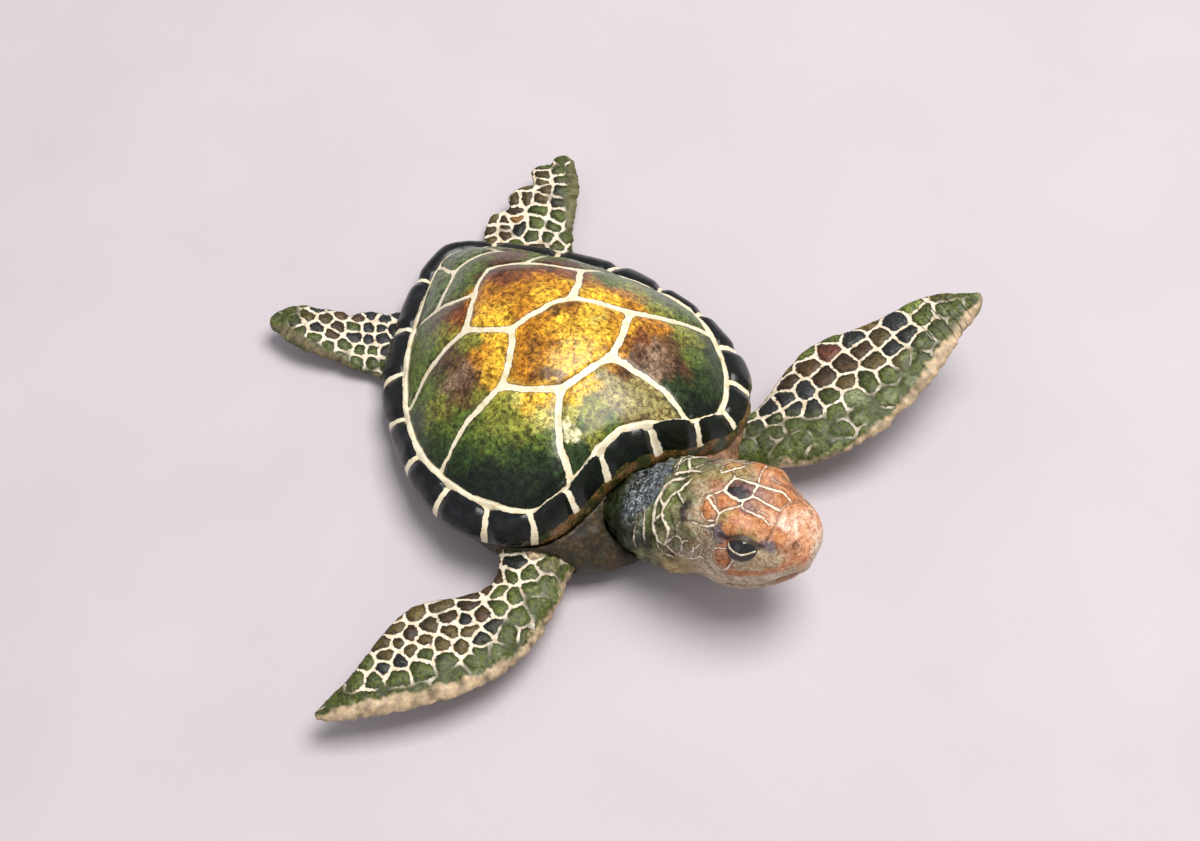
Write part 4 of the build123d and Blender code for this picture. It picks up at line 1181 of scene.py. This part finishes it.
# Small pebbly scales fill the skin between the drawn lines.
random = np.random.default_rng(271)
pebble_seeds = local[random.choice(len(local), 620, replace=False)]
pebble_middles = []
for spot in pebble_seeds:
    if all(np.linalg.norm(spot - other) > 1.45 for other in pebble_middles):
        pebble_middles.append(spot)
near_two = np.full((len(points), 2), 1e9)
for spot in pebble_middles:
    gap = np.linalg.norm(wavy - spot, axis=1)
    nearer = gap < near_two[:, 0]
    near_two[:, 1] = np.where(nearer, near_two[:, 0], np.minimum(near_two[:, 1], gap))
    near_two[:, 0] = np.where(nearer, gap, near_two[:, 0])
pebble = (near_two[:, 1] - near_two[:, 0]) / 2

# Swellings and hollows: middle, reach along, across and up, and height.
swellings = both_sides([
    (0.6, -6.2, 8.6, 4.0, 1.9, 2.0, 0.55), (5.2, -4.9, 7.9, 2.6, 1.7, 1.8, 0.35),
    (-5.4, -5.6, 8.0, 1.6, 1.6, 1.6, 0.25), (8.6, -6.8, 5.2, 2.4, 1.6, 2.2, -0.45),
    (4.4, -10.2, 4.6, 4.4, 1.6, 1.4, -0.35), (0.3, -10.8, 2.4, 1.5, 1.5, 1.8, 0.28),
    (4.0, -10.6, -0.4, 5.0, 2.0, 1.8, 0.35), (12.2, -3.6, 4.2, 2.0, 2.0, 2.0, 0.25),
    (-10.3, -5.4, 6.0, 1.6, 1.7, 1.7, -0.60), (-7.1, -10.0, 0.6, 1.2, 1.2, 1.4, 0.25),
    (-9.7, -9.8, -1.0, 1.3, 1.3, 1.6, 0.25),
])
# The left brow is heavier.
swellings.append((3.4, 7.4, 7.2, 4.2, 2.6, 2.4, 0.9))
lift = np.zeros(len(points))
for a, b, c, reach_a, reach_b, reach_c, height in swellings:
    gap = (((local - (a, b, c)) / (reach_a, reach_b, reach_c)) ** 2).sum(axis=1)
    lift += height * np.exp(-gap)
on_neck = ease(-local[:, 0] - 0.30 * local[:, 2], 8.6, 11.5)
lift += plate_step * ease(crack, 0.0, 1.1) * (1 - on_neck) - 0.14
lift += pebble_rise * ease(pebble, 0.05, 0.45) * (0.45 + 0.55 * on_neck) - 0.06
lift += ridge_rise[1] * np.exp(-(ridge_gap[1] / 0.28) ** 2)
lift += ridge_rise[2] * np.exp(-(ridge_gap[2] / 0.42) ** 2)
lift -= ridge_rise[2] * on_neck * np.exp(-((ridge_gap[2] - 1.1) / 0.55) ** 2)
around = drift(local * np.array([1.0, 0.22, 0.22]), 1.3, 234) + 0.4 * drift(local, 1.6, 233)
lift += on_neck * neck_fold_rise * around
lift += 0.06 * drift(points, 1.0, 231) + 0.04 * drift(points, 0.5, 232)

mouth = soft_line([(2.0, -10.7, -6.4), (5.4, -9.9, -5.8), (8.6, -8.0, -4.8), (10.3, -7.6, -3.2), (11.7, -6.9, -1.8),
                   (13.0, -5.8, -1.3), (14.6, -3.4, -1.6), (15.4, 0.4, -1.8), (14.6, 4.3, -1.6), (13.0, 6.7, -1.3),
                   (11.7, 7.8, -1.8), (10.3, 8.5, -3.2), (8.6, 8.9, -4.8), (5.4, 10.8, -5.8), (2.0, 11.6, -6.4)])
mouth = laid_on(mouth, local, normals)
mouth_gap, mouth_along = to_line(local, mouth)
gape = 0.5 + 0.5 * np.exp(-((np.abs(mouth_along - 0.5) - 0.24) / 0.12) ** 2)
lift += -mouth_depth * gape * ease(mouth_gap, 0.75, 0.0) + 0.20 * np.exp(-((mouth_gap - 1.2) / 0.5) ** 2)
nostril_gap = np.full(len(points), 30.0)
for b in (-3.6, 2 * mirror_at + 3.6):
    nostril_gap = np.minimum(nostril_gap, np.linalg.norm(local - np.array([12.1, b, 5.2]), axis=1))
lift += 0.26 * np.exp(-((nostril_gap - 1.05) / 0.30) ** 2) - nostril_depth * ease(nostril_gap, 0.85, 0.25)

# Eyes: each bead sits behind an almond opening. A cream lower lid runs along
# it, with painted black shade under the lid and a heavy dark lid over the bead.
dark_lid_and_shade = np.zeros(len(points))
lid_cream = np.zeros(len(points))
eye_fields = []
for node, side, aside, upward in (("eye_right", -1, 0.57, 0.81), ("eye_left", 1, 0.90, 0.34)):
    low, high = (np.array(corner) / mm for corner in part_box(node))
    bead_radius = (high[0] - low[0]) / 2
    bead = ((low + high) / 2 - head_middle) @ head_axes.T
    out = np.array([0.13, aside * side, upward])
    out /= np.linalg.norm(out)
    long_axis = np.array([0.973, -0.198 * side, -0.122])
    long_axis -= out * (long_axis @ out)
    long_axis /= np.linalg.norm(long_axis)
    tall_axis = np.cross(out, long_axis)
    tall_axis *= np.sign(tall_axis[2])
    offset = local - bead
    along = offset @ long_axis
    tall = offset @ tall_axis
    reach = np.linalg.norm(offset, axis=1)
    near = (offset @ out > 0) & (reach < eye_reach)
    hood = np.clip(1 - (along / eye_half_length) ** 2, -3, 1)
    upper_edge = 0.35 + 0.85 * hood
    lower_edge = np.interp(along, [-3.7, -2.5, -1.2, 0.0, 1.1, 2.0, 2.9, 3.7],
                           [0.4, -0.5, -1.1, -1.3, -0.9, -0.3, 0.2, 0.35])
    hollow_edge = 0.35 - 3.15 * np.clip(1 - (np.abs(along + 0.2) / 4.0) ** 2.4, -3, 1)
    open_gap = np.maximum(tall - upper_edge, lower_edge - tall)
    hollow_gap = np.maximum(tall - upper_edge, hollow_edge - tall)
    eye_fields.append((bead, bead_radius, near, offset / reach[:, None], open_gap, hollow_gap, along, tall, lower_edge,
                       upper_edge))
local += normals * lift[:, None]
for bead, bead_radius, near, unit, open_gap, hollow_gap, along, tall, lower_edge, upper_edge in eye_fields:
    lid = near * (1 - ease(hollow_gap, 0.5, 1.6))
    cream_gap = np.where((along > -3.6) & (along < 2.9), np.abs(tall - lower_edge + 0.10), 9.0)
    height = bead_radius + np.where(tall > upper_edge, hood_thickness, lid_thickness)
    height += lid_bead_rise * np.exp(-(cream_gap / 0.25) ** 2) - opening_step * ease(-open_gap, -0.1, 0.15)
    rest = bead + unit * height[:, None]
    local = local * (1 - lid[:, None]) + rest * lid[:, None]
    inside = near * ease(-open_gap, -0.02, 0.25)
    pit = bead + unit * (bead_radius - pit_depth)
    local = local * (1 - inside[:, None]) + pit * inside[:, None]
    # Painted black shade below the cream lower lid; the band above the bead is the dark paint of the upper lid.
    dark_lid_and_shade = np.maximum(dark_lid_and_shade, near * ease(-hollow_gap, -0.16, 0.04))
    brow_line = np.abs(tall - np.interp(along, [-5.4, -3.4, -1.0, 0.8, 3.0, 5.0], [1.0, 1.15, 1.75, 1.72, 1.25, 0.7]))
    reach_out = ease(along, -5.6, -4.2) * ease(-along, -5.4, -3.4)
    dark_lid_and_shade = np.maximum(dark_lid_and_shade, near * reach_out * ease(-brow_line, -0.80, -0.25) * 0.92)
    lid_cream = np.maximum(lid_cream, near * ease(-cream_gap, -0.24, -0.13))
set_places(head, local @ head_axes + head_middle)
relax(head, 1)

head_dabs = [
    (-1.8, 0.9, 9.4, 1.2, night), (0.2, 2.2, 9.4, 0.8, plum), (-2.6, 2.4, 9.3, 0.6, plum),
    (3.4, -1.5, 8.9, 1.2, clay), (1.8, -1.9, 9.2, 0.7, plum), (5.4, -1.2, 8.4, 0.9, salmon),
    (3.9, 2.4, 8.8, 1.5, clay), (2.4, 2.4, 9.0, 0.7, plum), (5.6, 2.6, 8.4, 1.0, orange),
    (-3.2, -2.6, 9.2, 1.1, orange), (-4.9, -1.9, 8.9, 0.6, clay), (-1.8, 4.9, 9.0, 1.3, ochre),
    (-0.4, 5.6, 8.6, 0.8, clay), (-6.1, 0.6, 8.7, 1.3, clay), (-5.4, 2.6, 8.6, 1.0, ochre),
    (-8.0, 2.0, 7.9, 1.6, ochre), (-8.6, -0.8, 7.6, 1.4, beige), (-9.4, 3.6, 7.0, 2.0, olive_grey),
    (-5.2, 6.0, 8.0, 1.6, ochre), (1.4, 7.8, 7.8, 1.5, burnt), (3.6, 6.8, 8.0, 1.4, burnt),
    (6.0, 5.8, 7.4, 1.3, burnt), (2.0, 5.2, 8.6, 0.8, orange), (8.4, 5.6, 6.4, 1.4, orange),
    (4.4, 8.8, 6.0, 1.4, peach), (8.2, 7.2, 4.4, 1.6, clay),
    (7.0, -1.4, 7.9, 0.8, peach), (8.6, 1.6, 7.2, 1.2, salmon), (9.2, -0.8, 7.2, 1.1, blush),
    (10.4, 0.8, 6.6, 0.9, blush), (10.6, -1.6, 6.2, 1.0, peach), (9.4, -3.6, 6.8, 1.3, orange),
    (11.2, 2.8, 5.6, 1.4, peach), (12.2, 0.8, 5.2, 1.2, salmon), (10.8, -5.0, 5.2, 1.2, clay),
    (12.1, -3.6, 5.2, 0.8, clay), (13.4, -1.2, 4.4, 1.2, salmon), (13.6, 1.8, 4.0, 1.5, peach),
    (14.8, 0.4, 2.6, 1.6, pale_beige), (13.2, -4.0, 2.6, 1.4, salmon), (13.2, 4.8, 2.6, 1.4, salmon),
    (15.2, -1.0, 0.4, 1.6, pale_beige), (15.2, 1.8, 0.4, 1.6, pale_beige), (14.4, 0.4, -3.0, 2.0, pale_beige),
    (-16.0, 0.4, 4.0, 1.6, olive_grey), (-18.8, 0.0, 1.6, 2.0, steel), (-20.6, -1.6, -0.4, 2.0, steel),
    (-13.0, 0.6, 5.6, 1.6, neck_green), (-11.0, 1.6, 6.4, 1.2, ochre), (-23.4, 1.0, -2.4, 2.4, deep_green),
    (-27.0, 1.0, -5.0, 4.0, deep_green), (4.0, 0.4, -12.0, 5.0, pale_beige), (-6.0, 0.4, -12.5, 5.0, beige),
    (-14.0, 0.4, -13.5, 4.0, olive_grey), (11.0, 0.4, -9.0, 4.0, pale_beige),
] + both_sides([
    # The purple grey dabs here are painted shade in the hollows before and behind the eye.
    (8.4, -6.4, 6.2, 1.0, shade_purple), (9.8, -6.6, 4.6, 1.0, beige), (7.6, -8.4, 4.4, 1.1, beige),
    (-2.6, -8.4, 7.2, 0.9, shade_purple), (0.2, -6.4, 8.7, 1.2, orange), (2.2, -5.4, 9.0, 1.0, salmon),
    (4.2, -4.4, 8.6, 1.2, orange), (-1.8, -5.6, 9.0, 0.9, ochre), (5.8, -5.2, 7.9, 1.0, salmon),
    (2.0, -7.0, 8.4, 0.7, ochre), (4.8, -6.4, 7.9, 0.7, ochre),
    (-5.3, -5.4, 8.1, 1.1, orange), (-4.2, -6.2, 8.2, 0.6, clay), (-6.6, -8.2, 6.0, 1.0, beige),
    (-4.2, -9.2, 5.8, 1.0, beige), (-8.2, -5.8, 7.0, 1.2, beige), (-9.6, -3.2, 7.0, 1.0, olive_grey),
    (-9.0, -6.2, 6.0, 0.8, shade_purple), (0.2, -10.7, 2.4, 0.9, burnt), (0.2, -10.6, 4.2, 0.7, clay),
    (-3.0, -10.6, 2.2, 1.2, beige), (4.4, -10.8, 3.4, 1.2, beige), (2.6, -11.0, -0.4, 0.9, orange),
    (4.8, -10.6, 0.0, 0.9, burnt), (7.0, -9.8, 0.8, 0.9, orange), (9.2, -8.6, 1.6, 0.9, orange),
    (11.2, -7.2, 2.2, 0.9, salmon), (6.6, -9.6, 2.8, 1.0, beige), (9.6, -7.8, 3.8, 1.0, beige),
    (1.4, -10.9, -2.8, 1.4, beige), (4.4, -10.6, -2.6, 1.3, pale_beige), (7.4, -9.4, -1.8, 1.2, beige),
    (9.8, -8.2, -0.6, 1.1, pale_beige), (12.4, -6.4, 0.6, 1.1, beige), (-1.6, -10.7, -5.0, 1.8, pale_beige),
    (3.4, -10.0, -6.0, 2.2, beige), (8.0, -7.6, -7.0, 2.2, beige), (11.6, -6.0, -4.0, 1.6, clay),
    (-7.1, -10.1, 0.6, 0.8, olive_grey), (-9.7, -9.8, -1.0, 0.9, olive_grey), (-5.0, -10.3, 0.8, 0.9, ochre),
    (-4.6, -10.6, -2.4, 1.3, beige), (-8.2, -8.8, 3.8, 1.1, olive_grey), (-7.4, -10.1, -3.6, 1.2, beige),
    (-8.0, -10.0, -6.2, 1.8, ochre), (-4.6, -9.8, -7.4, 2.0, beige),
    (-9.9, -4.9, 6.5, 0.75, night), (-9.9, -6.9, 5.3, 0.75, night), (-10.4, -6.0, 5.8, 0.6, night),
    (-10.6, -7.6, 4.2, 0.9, olive_grey), (-11.8, -6.0, 4.6, 0.9, olive_grey),
    (-12.6, -3.6, 5.0, 0.9, neck_green), (-12.6, -7.0, 3.2, 0.9, neck_green),
    (-14.4, -3.4, 4.2, 0.9, neck_green), (-14.0, -8.0, 1.2, 1.0, neck_green),
    (-12.6, -9.2, -0.4, 1.1, olive_grey), (-16.6, -5.4, 1.8, 1.1, neck_green),
    (-16.6, -8.4, -1.0, 1.2, neck_green), (-14.8, -9.8, -3.6, 1.4, neck_green),
    (-12.6, -10.0, -6.4, 1.6, olive_grey), (-17.6, -3.6, 2.4, 1.2, steel), (-19.6, -4.6, -0.6, 1.6, steel),
    (-18.6, -7.6, -2.6, 1.5, neck_green), (-21.6, -5.4, -3.0, 1.8, steel),
    (-18.0, -9.6, -6.6, 2.0, deep_green), (-22.0, -8.0, -6.0, 2.2, deep_green),
    (-24.4, -5.0, -5.0, 2.4, deep_green), (-16.0, -9.6, -9.4, 2.4, olive_grey),
    (-20.0, -8.0, -11.0, 3.0, deep_green), (-10.0, -9.0, -9.4, 2.4, ochre),
])
ragged = local + strayed(points, ((0.55, 1.4, 241), (0.45, 0.6, 251)), axes=3)
paint = dabbed(ragged, head_dabs, 0.9, 0.0)
# Painted shade and light on the neck: darker in the fold valleys, lighter on the ridges, and darker toward the shell.
paint *= (1 + on_neck * (0.75 * np.clip(around, -1, 0.5) - 0.25 * ease(-local[:, 0], 17, 22)))[:, None]
dark_lid_and_shade = np.clip(dark_lid_and_shade, 0, 1)
lid_cream = np.clip(lid_cream, 0, 1)
# The dark upper lid paint, and the painted black shade under the lower lid.
paint = laid_over(paint, night, 0.95 * dark_lid_and_shade)
paint = laid_over(paint, lid_paint, lid_cream)
# Painted shadow along the mouth line.
paint = laid_over(paint, mouth_shadow_brown, 0.85 * gape * ease(mouth_gap, 0.55, 0.12))
paint = laid_over(paint, nostril_brown, 0.55 * ease(nostril_gap, 0.95, 0.4))
store(head, "paint", np.clip(paint, 0, 1))
store(head, "groove", crack)
store(head, "pebble", pebble + 0.25 * ease(local[:, 0], 2.5, 7.0))
pale_line = np.clip(paleness + (0.22 + 0.30 * on_neck) * drift(points, 1.4, 261) - 0.10 * on_neck, 0, 1)
store(head, "net", pale_line * (1 - dark_lid_and_shade) * (1 - lid_cream))
drybrush = ease(-local[:, 0], 16.0, 18.5) * ease(local[:, 0], -25, -22.5) * ease(local[:, 2], -6, -2)
store(head, "drybrush", drybrush)
head.data.shade_smooth()

face, tree, shader = new_material("face_paint")
base = attribute(tree, "paint", "Color")
sponge = noise(tree, 1.0, 6.0, 0.68, 0.6)
fine = noise(tree, 3.0, 4.0, 0.65)
colour = tinted(tree, sponge, (0.50, 0.64, 0.90), base, base, (1.30, 1.55, 1.75))
colour = tinted(tree, sponge, (0.50, 0.38, 0.90), colour, base, (0.62, 0.42, 0.34))
colour = tinted(tree, fine, (0.54, 0.67, 0.85), colour, colour, (1.45, 1.75, 1.95))
colour = mixed(tree, scaled(tree, fine, 0.42, 0.30, 0, 0.60), colour, crumb_brown)
colour = tinted(tree, attribute(tree, "pebble"), (0.17, 0.03, 0.62), colour, colour, (0.36, 0.28, 0.22))
streak = scaled(tree, noise(tree, 1.0, 7.0, 0.85, 1.8), 0.52, 0.57)
colour = mixed(tree, maths(tree, "MULTIPLY", attribute(tree, "drybrush"), streak), colour, brush_grey)
line = wandered(tree, attribute(tree, "groove"), 1.8, 4.0, 0.7, 0.13)
colour = tinted(tree, line, (0.42, 0.04, 0.75), colour, colour, (0.34, 0.22, 0.16))
line_share = maths(tree, "MULTIPLY", scaled(tree, line, 0.05, -0.05), scaled(tree, attribute(tree, "net"), 0.15, 0.75))
colour = mixed(tree, line_share, colour, fold_cream)
finish(tree, shader, colour, scaled(tree, sponge, 0.3, 0.7, 0.30, 0.50), (2.0, 5.0, 0.7, 0.55, 0.15),
       Specular_IOR_Level=0.35)
head.data.materials.append(face)
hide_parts("head_and_neck")
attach(head, "root")

# Eyes. Two beads of black enamel set into the head behind the lids, with a
# faint brown mottling in the black and a clear gloss coat over it.
bead_blacks = [(0.35, (0.004, 0.004, 0.005)), (0.75, (0.016, 0.011, 0.008))]
bead_enamel, tree, shader = new_material("black_bead_enamel")
mottle = noise(tree, 1.2, 3.0)
finish(tree, shader, ramp(tree, mottle, bead_blacks), scaled(tree, mottle, 0.3, 0.7, 0.06, 0.14),
       (1.2, 3.0, 0.5, 0.08, 0.05), Coat_Weight=0.8, Coat_Roughness=0.04)
for node in ("eye_left", "eye_right"):
    low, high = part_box(node)
    mesh = bpy.data.meshes.new(node + "_bead")
    form = bmesh.new()
    bmesh.ops.create_icosphere(form, subdivisions=5, radius=(high.x - low.x) / 2)
    bmesh.ops.translate(form, verts=form.verts, vec=(low + high) / 2)
    form.to_mesh(mesh)
    form.free()
    eye = bpy.data.objects.new(node + "_bead", mesh)
    scene.collection.objects.link(eye)
    mesh.shade_smooth()
    mesh.materials.append(bead_enamel)
    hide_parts(node)
    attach(eye, "root")

low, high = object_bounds()
